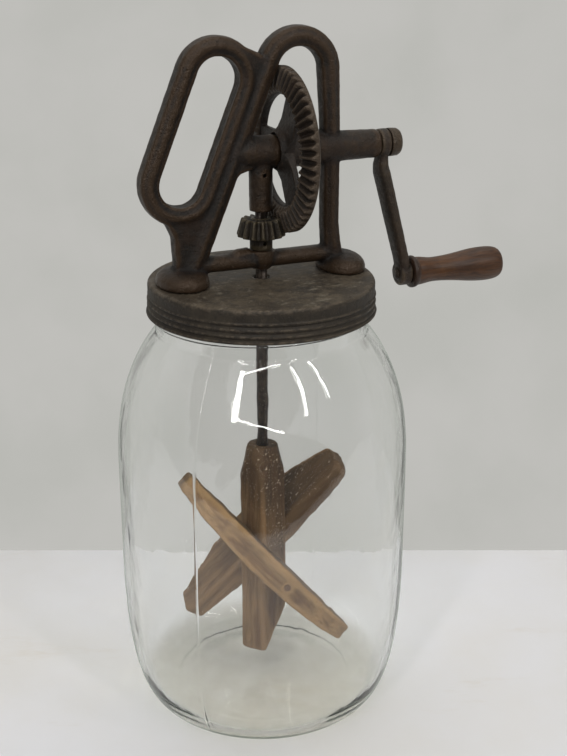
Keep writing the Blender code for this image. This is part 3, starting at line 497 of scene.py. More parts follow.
def lid_relief(radius, z, angle):
    """Raises the slanting ridges of the skirt and dents the sheet a little."""
    spot = Vector((radius * cos(angle), radius * sin(angle), z))
    near_foot = min(hypot(spot.x + foot_left, spot.y), hypot(spot.x - foot_right, spot.y))
    if z > lid_top - 0.0002 and radius > 0.0085:
        calm = min(1, max(0, (near_foot - 0.018) / 0.008))
        z -= 0.00022 * calm * (1 + noise.noise(spot * 95)) * min(1, (radius - 0.0085) / 0.006)
    if radius > lid_radius - 0.0005 and z < lid_top - lid_band:
        fade = min(1, (lid_top - lid_band - z) / 0.0012) * min(1, max(0, (z - lid_low - 0.0012) / 0.0016))
        turn = tau * (z / lid_ridge_pitch) + angle
        radius += fade * lid_ridge * sin(turn) + 0.00012 * noise.noise(spot * 160)
    return radius, z


lid = turned("screw_cap", lid_outline + lid_inside[::-1], steps=220, shape_at=lid_relief)
screw_spots = [(x, y) for x in (-foot_left, foot_right) for y in (-screw_offset, screw_offset)]
bored(lid, peg(lid_hole_radius, lid_top - 0.01, lid_top + 0.01, steps=48))
for x, y in screw_spots:
    bored(lid, peg(screw_hole_radius, lid_top - 0.01, lid_top + 0.01, Matrix.Translation((x, y, 0))))


def rows(items, key, width, kind):
    """One row of numbers for each of a mesh's points or edges."""
    values = np.empty(len(items) * width, kind)
    items.foreach_get(key, values)
    return values.reshape(-1, width)


def shape_relief(mesh, rounds):
    """Keeps each point's height over the smoothed surface, in millimetres: crests above 0, grooves below."""
    points = rows(mesh.vertices, "co", 3, float)
    pairs = rows(mesh.edges, "vertices", 2, np.int32)
    here = np.concatenate((pairs[:, 0], pairs[:, 1]))
    there = np.concatenate((pairs[:, 1], pairs[:, 0]))
    count = len(points)
    near = np.maximum(np.bincount(here, minlength=count), 1)[:, None]
    soft = points.copy()
    for _ in range(rounds):
        sums = [np.bincount(here, weights=soft[there, i], minlength=count) for i in range(3)]
        soft = (soft + np.stack(sums, 1) / near) / 2
    values = ((points - soft) * rows(mesh.vertices, "normal", 3, float)).sum(1) * 1000
    mesh.attributes.new("relief", "FLOAT", "POINT").data.foreach_set("value", values.astype(np.float32))


tin = new_material("worn_tin")
stain = tin.noise(16, 6, 0.62)
mottle = tin.noise(4.2, 5, 0.66)
scratch = tin.noise(2.2, 4, 0.6, stretch=(7, 1, 1), turn=(0, 0, 0.5))
pits = tin.cells(1.6)
streak = tin.noise(5, 6, 0.7, stretch=(1.5, 1, 1), turn=(0, 0, 0.35), warp=0.3)
spots = tin.ease(tin.noise(1.1, 3, 0.6), 0.6, 0.74)
flat = tin.ease(tin.axis("Z"), lid_top - lid_corner * 0.7, lid_top - lid_corner * 0.2)
worn = tin.ease(tin.relief(), 0.07, 0.26) * tin.ease(scratch, 0.42, 0.62)
colour = tin.layered(
    (55, 47, 37),
    (tin.ease(stain, 0.34, 0.66), (84, 74, 60)),
    (tin.ease(mottle, 0.42, 0.7) * 0.65, (38, 32, 27)),
    (tin.ease(streak, 0.54, 0.68) * flat * 0.65, (122, 114, 99)),
    (spots * (0.15 + flat * 0.45), (132, 124, 110)),
    # The upright skirt below the top's corner is darkened: painted shade.
    ((1 - flat) * 0.58, (25, 22, 18)),
    (worn * 0.38, (112, 100, 86)),
)
grain = mottle * 0.6 + scratch * 0.25 + tin.ease(pits, 0.0, 0.35) * 0.35
tinned = tin.surface(
    Base_Color=colour,
    Metallic=0.1 + worn * 0.35,
    Roughness=tin.ease(stain, 0.3, 0.7, 0.54, 0.7) - worn * 0.14,
    Specular_IOR_Level=0.35,
    Normal=tin.bump(grain, 0.7, 0.75),
)
dress(lid, tinned, 14)
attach(lid, "head")
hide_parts("tin_lid")


# Cast iron frame: one casting with the hand loop, leg, arch, post, crossbar, feet and bearings.
# Its ribs follow paths and overlap its webs and bosses. All are melted into one surface with soft corners.
class Maker(Nodes):
    """A Geometry Nodes tree with named inputs that ends in real geometry of one material."""

    def __init__(self, name, **inputs):
        self.tree = bpy.data.node_groups.new(name, "GeometryNodeTree")
        self.keys = {}
        for label, kind in inputs.items():
            socket = self.tree.interface.new_socket(label, in_out="INPUT", socket_type="NodeSocket" + kind)
            self.keys[label] = socket.identifier
        self.tree.interface.new_socket("Result", in_out="OUTPUT", socket_type="NodeSocketGeometry")
        self.start = self.tree.nodes.new("NodeGroupInput")

    def given(self, label):
        return Shade(self, self.start.outputs[label])

    def realize(self, shape):
        return self.add("GeometryNodeRealizeInstances", {}, {0: shape})

    def end(self, shape):
        coated = self.add("GeometryNodeSetMaterial", {}, {0: shape, "Material": self.given("Material")})
        self.add("NodeGroupOutput", {}, {0: coated})

    def grow(self, item, **values):
        """Runs the tree on a piece with values for its inputs, and keeps the piece's plain mesh."""
        modifier = item.modifiers.new("grown", "NODES")
        modifier.node_group = self.tree
        for label, value in values.items():
            modifier[self.keys[label]] = value
        settle(item)


bar = Maker("cast_bar", Path="Geometry", Section="Object", Material="Material")
curve = bar.add("GeometryNodeMeshToCurve", {}, {"Mesh": bar.given("Path")})
curve = bar.add("GeometryNodeSetCurveNormal", {"mode": "FREE"}, {"Curve": curve, "Normal": (0, 1, 0)})
section = bar.add("GeometryNodeObjectInfo", {}, {"Object": bar.given("Section")}, "Geometry")
share = bar.add("GeometryNodeInputNamedAttribute", {}, {"Name": "share"}, "Attribute")
sockets = {"Curve": curve, "Profile Curve": section, "Scale": share, "Fill Caps": True}
bar.end(bar.realize(bar.add("GeometryNodeCurveToMesh", {}, sockets)))


def cast_bar(name, path, section, metal, ring=False, shares=None, depth=0):
    """A bar with the section of (depth, side) points along a path of (x, z) points."""
    mesh = bpy.data.meshes.new(name)
    edges = [(i, i + 1) for i in range(len(path) - 1)]
    if ring:
        edges.append((len(path) - 1, 0))
    mesh.from_pydata([(x, depth, z) for x, z in path], edges, [])
    mesh.attributes.new("share", "FLOAT", "POINT").data.foreach_set("value", shares or [1.0] * len(path))
    item = link(name, mesh)
    curve = bpy.data.curves.new("bar_section", "CURVE")
    curve.dimensions = "2D"
    spline = curve.splines.new("POLY")
    spline.points.add(len(section) - 1)
    for point, place in zip(spline.points, section):
        point.co = (*place, 0, 1)
    spline.use_cyclic_u = True
    outline = link("bar_section", curve)
    bar.grow(item, Section=outline, Material=metal)
    bpy.data.objects.remove(outline)
    return item


def plate(name, outline, half_thickness):
    """A flat web between the ribs, from its corners in the upright XZ plane."""
    shape = bmesh.new()
    front = [shape.verts.new((x, -half_thickness, z)) for x, z in outline]
    rear = [shape.verts.new((x, half_thickness, z)) for x, z in outline]
    shape.faces.new(front)
    shape.faces.new(rear)
    for i in range(len(outline)):
        shape.faces.new((front[i], front[i - 1], rear[i - 1], rear[i]))
    return link(name, close_up(shape, name))


def soften(item, voxel, rounds):
    """Runs a closed piece's shapes into one skin with soft corners."""
    remesh = item.modifiers.new("melt", "REMESH")
    remesh.mode = "VOXEL"
    remesh.voxel_size = voxel
    smooth = item.modifiers.new("soften", "SMOOTH")
    smooth.factor = 0.5
    smooth.iterations = rounds
    settle(item)


def melted(name, shapes, voxel, rounds, lumps, lump_size):
    """One closed casting out of overlapping closed shapes, with soft corners and a slightly lumpy skin."""
    merged = bmesh.new()
    for item in shapes:
        part = bmesh.new()
        part.from_mesh(item.data)
        merged.from_mesh(close_up(part, item.name))
        bpy.data.objects.remove(item)
    mesh = bpy.data.meshes.new(name)
    merged.to_mesh(mesh)
    merged.free()
    whole = link(name, mesh)
    soften(whole, voxel, rounds)
    points = whole.data.vertices
    moves = [points[i].normal * lumps * noise.noise(points[i].co / lump_size) for i in range(len(points))]
    for point, move in zip(points, moves):
        point.co += move
    whole.data.shade_smooth()
    return whole


def iron_material(name, base, light, rust, shine):
    """Old cast iron: dark skin with rusty blotches, lighter along its crests from rubbed wear and a painted
    highlight, painted shade in its grooves.
    """
    iron = new_material(name)
    blotch = iron.noise(13, 5, 0.6)
    mottle = iron.noise(3.4, 5, 0.66)
    grain = iron.noise(1, 3, 0.65)
    pits = iron.cells(1.3)
    relief = iron.relief()
    # Crests are lightened: rubbed wear with a painted highlight.
    crest = iron.ease(relief + (mottle - 0.5) * 0.3, 0.1, 0.52)
    # Grooves are darkened: painted shade.
    groove_painted_shade = iron.ease(relief + (mottle - 0.5) * 0.16, -0.14, -0.5)
    colour = iron.layered(
        base,
        (iron.ease(blotch, 0.36, 0.68), rust),
        (iron.ease(mottle, 0.5, 0.74) * 0.55, (27, 23, 21)),
        (crest * 0.85, light),
        (iron.ease(grain, 0.54, 0.72) * 0.5, light),
        (groove_painted_shade * 0.85, (20, 16, 14)),
    )
    skin = mottle * 0.5 + grain * 0.45 + iron.ease(pits, 0.0, 0.3) * 0.3
    return iron.surface(
        Base_Color=colour,
        Metallic=0.12 + crest * 0.25 - groove_painted_shade * 0.1,
        Roughness=iron.ease(mottle, 0.3, 0.7, 0.44, 0.6) - crest * shine + groove_painted_shade * 0.2,
        Specular_IOR_Level=0.34,
        Normal=iron.bump(skin, 1, 1.0),
    )


crank_z = 0.313537
crossbar_z = lid_top + 0.0097
bar_half_width = 0.0048
bar_half_depth = 0.0065
arch_half_width = 0.0052
loop_bend = 0.0164
loop_top = (-0.0236, crank_z + 0.0373)
loop_low = (-0.0443, crank_z - 0.0135)
arch_bend = 0.017
arch_centre = (0.0202, crank_z + 0.0399)
leg_low = (-0.0355, lid_top + 0.0158)
leg_end = (-0.0425, lid_top + 0.0027)
frame_voxel = 0.00066


def ribbed_section(half_width, half_depth):
    """(depth, side) points round a bar with a crest in the middle, two flutes, and beads at its edges."""
    shares = ((1, 0.28), (0.95, 0.6048), (0.86, 0.72), (0.72, 0.79), (0.56, 0.81))
    shares += ((0.36, 0.91), (0.2, 0.955), (0.1, 0.99), (0, 1))
    front = [(-half_depth * deep, half_width * side) for side, deep in shares]
    front += [(-half_depth * deep, -half_width * side) for side, deep in reversed(shares[:-1])]
    return front + [(-deep, side) for deep, side in reversed(front)]


def round_section(half_width, half_depth, power, steps=28):
    """(depth, side) points round an oval bar. A higher power makes it squarer."""
    points = []
    for i in range(steps):
        turn = tau * i / steps
        side = copysign(abs(cos(turn)) ** (1 / power), cos(turn))
        deep = copysign(abs(sin(turn)) ** (1 / power), sin(turn))
        points.append((half_depth * deep, half_width * side))
    return points


frame_iron = iron_material("cast_iron", (24, 20, 16), (64, 49, 35), (40, 28, 19), 0.16)
leg_way = (Vector(loop_top) - Vector(loop_low)).normalized()
lean = atan2(leg_way.y, leg_way.x)
rib = ribbed_section(bar_half_width, bar_half_depth)
arch_rib = ribbed_section(arch_half_width, bar_half_depth)


def loop_way(bend, steps):
    """The hand loop's path: two half circles with straight sides between them."""
    upper = arc(loop_top, bend, lean - pi / 2, lean + pi / 2, steps)
    return upper + arc(loop_low, bend, lean + pi / 2, lean + 1.5 * pi, steps)


frame_shapes = [cast_bar("hand_loop", loop_way(loop_bend, 28), rib, frame_iron, ring=True)]
for side in (-1, 1):
    bead_path = loop_way(loop_bend - bar_half_width + 0.0007, 24)
    bead = round_section(0.001, 0.0014, 1.0, 12)
    frame_shapes.append(cast_bar("loop_bead", bead_path, bead, frame_iron, ring=True, depth=side * 0.0037))

over = arc(arch_centre, arch_bend, lean + pi / 2, 0, 28)
post_path = drawn(crank_z, (38.2, 19), (38.7, 6), (38.8, -4))
post_path += drawn(crossbar_z, (38.8, 16.5), (39.7, 6)) + drawn(lid_top, (41.2, 4.7))
arch_path = [leg_end, leg_low] + over + post_path
shares = [1.08, 1.04] + [1.0] * len(over) + [0.93, 0.9, 0.88, 0.88, 0.92, 1.0]
frame_shapes.append(cast_bar("arch_and_leg", arch_path, arch_rib, frame_iron, shares=shares))

side_way = Vector((leg_way.y, leg_way.x)) * loop_bend
web_low = Vector(leg_low) + leg_way * (loop_low[1] - leg_low[1]) / leg_way.y
upper_web = drawn(crank_z, (-16, 55.5), (-1.5, 49.3)) + [
    (arch_centre[0] - arch_bend * 0.9, arch_centre[1]),
    tuple(web_low),
    (loop_low[0] + side_way.x, loop_low[1] - side_way.y),
    (loop_top[0] + side_way.x, loop_top[1] - side_way.y),
    (loop_top[0] + loop_bend * 0.8, loop_top[1] + loop_bend * 0.48),
]
lower_web = drawn(lid_top, (-56, 40.7)) + [
    (loop_low[0], loop_low[1] - loop_bend),
    (loop_low[0] + loop_bend, loop_low[1] - loop_bend / 2),
    leg_low,
    leg_end,
]
lower_web += drawn(lid_top, (-47.8, 4.7), (-47.8, 26.7), (-50.2, 31.5))
frame_shapes.append(plate("upper_web", upper_web, 0.0051))
frame_shapes.append(plate("lower_web", lower_web, 0.0049))
gusset = drawn(crank_z, (-14.5, 10.5), (-6, 8), (-6, -8), (-12.5, -9.8), (-18.5, -15), (-21.5, -12))
frame_shapes.append(plate("bearing_gusset", gusset, 0.0055))
edge_path = drawn(lid_top, (-55, 39), (-50.3, 32.2), (-47.6, 26.2), (-46.8, 14), (-47, 5))
frame_shapes.append(cast_bar("web_edge", edge_path, round_section(0.0016, 0.0052, 1.1, 16), frame_iron))

for x, half in ((-foot_left, 0.0136), (foot_right, 0.0124)):
    turns = [pi / 2 * i / 16 for i in range(1, 17)]
    dome = [(0, 0.0003), (half - 0.0002, 0.0003), (half, 0.001), (half, 0.002)]
    dome += [(half * cos(turn) ** 0.8, 0.002 + 0.0074 * sin(turn) ** 0.85) for turn in turns]
    place = Matrix.Translation((x, 0, lid_top)) @ Matrix.Diagonal((1, 0.0178 / half, 1, 1))
    frame_shapes.append(turned("frame_foot", dome, place))

crossbar_path = drawn(crossbar_z, (-35.5, 0), (38.8, 0))
frame_shapes.append(cast_bar("crossbar", crossbar_path, round_section(0.0043, 0.0055, 1.15), frame_iron))
pad_path = drawn(crossbar_z, (-18.5, 1.2), (-13, 3.8), (-7, 4))
frame_shapes.append(cast_bar("oil_pad", pad_path, round_section(0.0028, 0.0044, 1.0, 16), frame_iron))

crank_line = Matrix.Translation((0, 0, crank_z)) @ Matrix.Rotation(pi / 2, 4, "Y")
boss_end = 0.0662
boss_outline = drawn(0, (0, 23.8), (7.4, 23.8), (8.1, 24.5), (8.4, 32), (8, 40), (7.8, 52), (7.5, 61))
boss_outline += drawn(boss_end, (7.6, -1.7), (7, 0), (0, 0))
cross_boss = drawn(0, (0, -17), (5.2, -17), (6.8, -13), (8, -9), (8.3, -5), (8.3, 7.2), (7.6, 8.5), (0, 8.5))
upper_bearing = drawn(0, (0, 282.96), (6.1, 282.96), (6.3, 319), (0, 319))
lower_bearing = drawn(lid_top + 0.0045, (0, 0), (4.6, 0), (5, 0.974), (6.8, 3.774), (7.3, 5.674))
lower_bearing += drawn(lid_top + 0.015, (7.2, -0.626), (6.6, 0), (0, 0))
frame_shapes += [turned("crank_boss", boss_outline, crank_line), turned("cross_boss", cross_boss, crank_line)]
frame_shapes += [turned("upper_bearing", upper_bearing), turned("lower_bearing", lower_bearing)]

casting = melted("cast_frame_body", frame_shapes, frame_voxel, 5, 0.00012, 0.0031)
crank_bore = 0.00465
dasher_bore = 0.00345
dasher_bore_top = 0.304237
oil_bore = 0.0011
foot_bore = 0.00205
bored(casting, peg(crank_bore, -0.0084, boss_end + 0.006, crank_line))
bored(casting, peg(dasher_bore, lid_top, dasher_bore_top))
oil_line = Matrix.Translation((0, 0, crank_z - 0.0115)) @ Matrix.Rotation(pi / 2, 4, "X")
bored(casting, peg(oil_bore, 0, 0.012, oil_line, 16))
for x, y in screw_spots:
    bored(casting, peg(foot_bore, lid_top - 0.001, lid_top + 0.0056, Matrix.Translation((x, y, 0)), 16))
dress(casting, frame_iron, 60)
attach(casting, "head")
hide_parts("cast_frame")


# Foot screws and washers: round headed steel screws from under the cap into the feet.
# One screw and one washer are copied to the four places by Geometry Nodes, each turned a little differently.
scatter = Maker("scatter", Places="Geometry", Piece="Object", Material="Material", Seed="Int")
sockets = {0: (0, 0, -1.5), 1: (0, 0, 1.5), "Seed": scatter.given("Seed")}
turn = scatter.add("FunctionNodeRandomValue", {"data_type": "FLOAT_VECTOR"}, sockets)
piece = scatter.add("GeometryNodeObjectInfo", {}, {"Object": scatter.given("Piece")}, "Geometry")
sockets = {"Points": scatter.given("Places"), "Instance": piece, "Rotation": turn}
scatter.end(scatter.realize(scatter.add("GeometryNodeInstanceOnPoints", {}, sockets)))

metal = new_material("old_steel")
mottle = metal.noise(2.6, 5, 0.65)
lathe_marks = metal.noise(0.7, 3, 0.6, stretch=(5, 5, 1))
specks = metal.ease(metal.noise(0.9, 2, 0.5), 0.66, 0.76)
layers = (metal.ease(mottle, 0.35, 0.7), (36, 31, 28)), (specks * 0.8, (186, 176, 162))
steel = metal.surface(
    Base_Color=metal.layered((66, 56, 48), *layers),
    Metallic=0.55 + specks * 0.35,
    Roughness=metal.ease(mottle, 0.3, 0.7, 0.4, 0.55) - specks * 0.15,
    Normal=metal.bump(mottle * 0.5 + lathe_marks * 0.3, 0.3, 0.6),
)
washer_level = -lid_sheet - 0.0003
head_level = washer_level - 0.0012
screw_outline = drawn(0, (0, 5.3), (1.225, 5.3), (1.75, 4.7))
screw_outline += drawn(head_level, (1.75, 0), (3.6, 0), (3.5, -0.9), (2.2, -2.1), (0, -2.1))
washer_outline = drawn(washer_level, (2.05, -0.9), (4.4, -0.9), (4.6, -0.6), (4.6, -0.1), (4.4, 0), (2.05, 0))
for name, outline, node in (
    ("foot_screws", screw_outline, "foot_screw"),
    ("foot_washers", washer_outline, "foot_washer"),
):
    model = turned("model", outline[::-1], steps=32)
    places = bpy.data.meshes.new(name)
    places.from_pydata([(x, y, lid_top) for x, y in screw_spots], [], [])
    copies = link(name, places)
    scatter.grow(copies, Piece=model, Material=steel, Seed=4)
    bpy.data.objects.remove(model)
    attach(copies, "head")
    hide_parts(*[f"{node}_{i}" for i in range(1, 5)])


# Drive gear: a cast iron bevel gear pinned to the crank shaft, with worn teeth and three openings in its web.
# One tooth is modelled and copied round by Geometry Nodes, then joined with the softened web and hub.
crown = Maker("ring_of_teeth", Sector="Geometry", Count="Int", Material="Material")
count = crown.given("Count")
step = crown.add("ShaderNodeMath", {"operation": "DIVIDE"}, {0: tau, 1: count})
angle = step * crown.add("GeometryNodeInputIndex", {}, {})
turn = crown.add("ShaderNodeCombineXYZ", {}, {"Z": angle})
points = crown.add("GeometryNodePoints", {}, {"Count": count})
sockets = {"Points": points, "Instance": crown.given("Sector"), "Rotation": turn}
teeth = crown.realize(crown.add("GeometryNodeInstanceOnPoints", {}, sockets))
sockets = {"Geometry": teeth, "Distance": 0.000004}
crown.end(crown.add("GeometryNodeMergeByDistance", {}, sockets))

gear_teeth = 52
pinion_teeth = 14
heel_radius = 0.0424
pinion_heel_radius = heel_radius * pinion_teeth / gear_teeth
pinion_cone = atan2(pinion_teeth, gear_teeth)
tooth_play = 0.00022
tooth_pressure = radians(25)


def half_tooth(height, cone_radius, virtual_radius, thickness):
    """Half the tooth's angle at a height over the pitch cone, from its involute."""
    base = virtual_radius * cos(tooth_pressure)
    slant = acos(base / max(virtual_radius + height, base))
    opened = tan(slant) - slant - (tan(tooth_pressure) - tooth_pressure)
    return (thickness / (2 * virtual_radius) - opened) * virtual_radius / cone_radius


def toothed_ring(name, teeth, cone, radius, above, below, ends, blank, metal, shift):
    """A closed ring of bevel teeth about Z, with rounded tips, filleted roots and rubbed ends.

    The ends are (share of the cone's length, share of the tooth's height) from toe to heel."""
    thickness = pi * radius / teeth - tooth_play
    distance = radius / sin(cone)
    virtual = radius / cos(cone)
    tip = half_tooth(above, radius, virtual, thickness)
    root = half_tooth(-below, radius, virtual, thickness)
    valley = pi / teeth
    stations = [(-valley, -below), (-root - (valley - root) * 0.45, -below)]
    stations.append((-root - (valley - root) * 0.1, -below * 0.9))
    for rise in (-below * 0.66, -below * 0.3, 0.0, above * 0.4, above * 0.72):
        stations.append((-half_tooth(rise, radius, virtual, thickness), rise))
    stations += [(-tip * 1.02, above * 0.9), (-tip * 0.72, above * 0.985), (0, above)]
    stations += [(-angle, rise) for angle, rise in reversed(stations[:-1])]
    shape = bmesh.new()
    rings = []
    for angle, rise in stations:
        turn = angle + tau * shift / teeth
        places = []
        for share, height in ends:
            lift = -below + (rise + below) * height
            r = (distance * sin(cone) + lift * cos(cone)) * share
            z = (distance * cos(cone) - lift * sin(cone)) * share
            places.append((r, z))
        places += blank
        rings.append([shape.verts.new((r * cos(turn), r * sin(turn), z)) for r, z in places])
    for here, there in zip(rings, rings[1:]):
        for i in range(len(here)):
            shape.faces.new((here[i - 1], here[i], there[i], there[i - 1]))
    sector = link(name, close_up(shape, name))
    crown.grow(sector, Count=teeth, Material=metal)
    ring = bmesh.new()
    ring.from_mesh(sector.data)
    sector.data = close_up(ring, name)
    return sector


key_radius = 0.00116
key_reach = 0.012


def key_peg(z, place=Matrix()):
    """A round bar across the axis at a height along it, for a key pin's hole."""
    across = Matrix.Translation((0, 0, z)) @ Matrix.Rotation(pi / 2, 4, "X")
    return peg(key_radius, -key_reach, key_reach, place @ across, 16)


def united(item, other):
    """Joins a closed piece to another closed piece."""
    union = item.modifiers.new("join", "BOOLEAN")
    union.operation = "UNION"
    union.solver = "MANIFOLD"
    union.object = other
    settle(item)
    bpy.data.objects.remove(other)


gear_iron = iron_material("gear_iron", (34, 29, 25), (78, 66, 54), (45, 34, 26), 0.14)
tooth_above = 0.00147
tooth_below = 0.00175
gear_toe = 0.74
toe_front = pinion_heel_radius * gear_toe + tooth_below
gear_back = pinion_heel_radius + 0.0038
web_back = gear_back - 0.0006
web_front = web_back - 0.0034
shaft_bore = 0.0046
fine_voxel = 0.00045
hub_front = 0.0101
hub_back = 0.0235
spoke_half = 0.0087
window_reach = 0.0282
window_turn = radians(30)

worn_ends = ((gear_toe, 0.8), (gear_toe + 0.018, 0.97), (gear_toe + 0.06, 1.0))
worn_ends += ((0.94, 1.0), (0.985, 0.97), (1.0, 0.82))
rim_blank = drawn(gear_back, (42.4, -0.8), (41.6, 0), (29.7, 0), (29, -0.7))
rim_blank += drawn(toe_front, (29, 0.6), (29.6, 0))
gear = toothed_ring(
    "bevel_gear", gear_teeth, pi / 2 - pinion_cone, heel_radius, tooth_above, tooth_below, worn_ends,
    rim_blank, gear_iron, 0.5,
)
web_outline = drawn(hub_front, (0, 0), (8.2, 0), (8.8, 0.7))
web_outline += drawn(web_front, (9.2, -4.2), (11.4, -1), (15.8, 0.2), (30.1, 0))
web_outline += drawn(web_back, (30.1, 0), (9.4, 0)) + drawn(hub_back, (8.8, -0.4), (8.3, 0), (0, 0))
body = turned("gear_body", web_outline, steps=120)
spread = pi / 3
window_half = spread - asin(spoke_half / window_reach)
window = [(spoke_half / sin(spread), 0)] + arc((0, 0), window_reach, -window_half, window_half, 30)
windows = []
for i in range(3):
    opening = plate("gear_window", window, 0.03)
    turn = Matrix.Rotation(tau * i / 3 + window_turn, 4, "Z") @ Matrix.Rotation(-pi / 2, 4, "X")
    opening.data.transform(turn)
    windows.append(opening)
bored(body, *windows)
body = melted("gear_web", [body], fine_voxel, 6, 0.00008, 0.0028)
united(gear, body)
gear_key = hub_back - 0.0035
bored(gear, peg(shaft_bore, hub_front - 0.006, hub_back + 0.006), key_peg(gear_key))
gear.data.transform(crank_line)
dress(gear, gear_iron, 12)
gear.data.shade_smooth()
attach(gear, "crank")
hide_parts("drive_gear")


# Pinion: the small cast iron bevel gear, pinned to the dasher's rod by its collar, brown with old grease.
# Its teeth are copied round like the gear's, then joined with a turned core and bored for the shaft.
pinion_iron = iron_material("pinion_iron", (36, 32, 26), (80, 71, 55), (44, 36, 28), 0.16)
pinion_above = 0.0013
pinion_below = 0.00185
pinion_toe = 0.818
pinion_heel = 1.038
pinion_bore = 0.0034
dasher_angle = -22.5
pinion_root = heel_radius + pinion_below * sin(pinion_cone)
pinion_front = pinion_root * pinion_toe
pinion_back = pinion_root * pinion_heel + 0.0003
pinion_bottom = 0.262626
pinion_top = crank_z - pinion_front + 0.0008
pinion_ends = ((pinion_toe, 0.82), (0.832, 0.98), (0.86, 1.0), (1.0, 1.0), (1.026, 0.97), (pinion_heel, 0.84))
pinion_blank = [(pinion_heel_radius * 0.8, pinion_back - 0.0003), (pinion_heel_radius * 0.78, pinion_back)]
pinion_blank += [(0.0047, pinion_back), (0.0047, pinion_front)]
pinion = toothed_ring(
    "bevel_pinion", pinion_teeth, pinion_cone, pinion_heel_radius, pinion_above, pinion_below, pinion_ends,
    pinion_blank, pinion_iron, dasher_angle * pinion_teeth / 360,
)
pinion.data.transform(Matrix.Translation((0, 0, crank_z)) @ Matrix.Rotation(pi, 4, "X"))
collar = drawn(pinion_bottom, (0, 0), (5.6, 0), (6, 0.5), (6, 4.6), (6.6, 5.8))
collar += drawn(pinion_top, (6.6, -4), (5.6, -1), (5, 0), (0, 0))
united(pinion, turned("collar", collar, steps=56))
pinion_key = pinion_bottom + 0.0036
bored(pinion, peg(pinion_bore, pinion_bottom - 0.006, pinion_top + 0.006), key_peg(pinion_key))
dress(pinion, pinion_iron, 8)
pinion.data.shade_smooth()
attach(pinion, "dasher")
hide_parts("pinion")


# Crank: a forged arm with an eye on the shaft and an eye for the grip's pin, under a round closed nut.
# The arm is a rib along a bent path, melted with its two eyes. Shaft and nut are turned.
arm_iron = iron_material("arm_iron", (35, 31, 26), (76, 64, 51), (46, 35, 27), 0.12)
crank_throw = 0.0732
pin_bore = 0.00195
arm_start = 0.0665
arm_foot_start = 0.081
arm_path = drawn(crank_z, (69.3, 0), (69.3, -7.7), (68.9, -11.5), (69.7, -16), (83.5, -66.3), (84.5, -73.2))
arm_rib = round_section(0.0037, 0.007, 1.25, 32)
arm_shapes = [cast_bar("arm_bar", arm_path, arm_rib, arm_iron, shares=[0.74, 0.74, 0.86, 1.0, 0.92, 0.9])]
eye = drawn(arm_start, (0, 0), (6.8, 0), (7.4, 0.7), (7.4, 4.9), (6.8, 5.6), (0, 5.6))
foot = drawn(arm_foot_start, (0, 0), (6, 0), (6.9, 1), (6.9, 6), (6, 7), (0, 7))
grip_line = crank_line @ Matrix.Translation((crank_throw, 0, 0))
arm_shapes += [turned("arm_eye", eye, crank_line), turned("arm_foot", foot, grip_line)]
arm = melted("crank_lever", arm_shapes, fine_voxel, 4, 0.0001, 0.0035)
bored(arm, peg(shaft_bore, arm_start - 0.006, arm_foot_start + 0.02, crank_line))
bored(arm, peg(pin_bore, arm_start - 0.006, arm_foot_start + 0.02, grip_line))
dress(arm, arm_iron, 50)
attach(arm, "crank")
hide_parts("crank_arm")

nut_outline = drawn(0, (0, 79.2), (3, 79.2), (5.2, 79), (6.6, 78.4), (7.3, 77.2), (7.5, 73.5), (7.4, 72.5))
nut_outline += drawn(0, (7.15, 72.5), (7.15, 73.8), (4.6, 73.8), (4.6, 77.5), (0, 77.5))
nut = turned("round_nut", nut_outline, crank_line, 64)
dress(nut, arm_iron, 6)
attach(nut, "crank")
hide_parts("crank_nut")

crank_rod = drawn(0, (0, -7.2), (3.7, -7.2), (4.3, -6.6), (4.3, 76.6), (3.7, 77.2), (0, 77.2))
shaft = turned("crank_rod", crank_rod, crank_line)
bored(shaft, key_peg(gear_key, crank_line))
dress(shaft, steel, 6)
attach(shaft, "crank")
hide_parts("crank_shaft")


# Grip: a turned hardwood handle, worn smooth and dark where hands held it, on a riveted steel pin.
# Turned with a flange, a waist and a full belly, with fine grain lines raised along it.
grip_start = 0.0883
grip_length = 0.0567
grip_bore = 0.002
grip_profile = drawn(0, (2, 0), (8.2, 0), (9, 0.6), (9.1, 1.6), (8.9, 2.6), (8.3, 3.4), (8, 4))
for i in range(1, 17):
    ease = (1 - cos(pi * i / 16)) / 2
    grip_profile.append((0.008 - 0.0011 * ease, 0.004 + (0.26 * grip_length - 0.004) * i / 16))
for i in range(1, 29):
    ease = (1 - cos(pi * i / 28)) / 2
    grip_profile.append((0.0069 + 0.0028 * ease, grip_length * (0.26 + 0.58 * i / 28)))
for i in range(1, 15):
    turn = pi / 2 * i / 14
    along = grip_length * (0.84 + 0.16 * sin(turn) ** 0.85)
    grip_profile.append((0.0062 + 0.0035 * cos(turn) ** 0.62, along))
grip_profile += [(0.0056, grip_length), (grip_bore, grip_length)]


def grip_relief(radius, z, angle):
    """Fine raised grain, a little out of round, and rubbed dents."""
    if radius < grip_bore * 1.5:
        return radius, z
    spot = Vector((cos(angle) * 1.6, sin(angle) * 1.6, z * 60))
    fine = Vector((cos(angle) * 9, sin(angle) * 9, z * 90))
    return radius + 0.00014 * noise.noise(spot) + 0.00006 * noise.noise(fine) - 0.0001, z


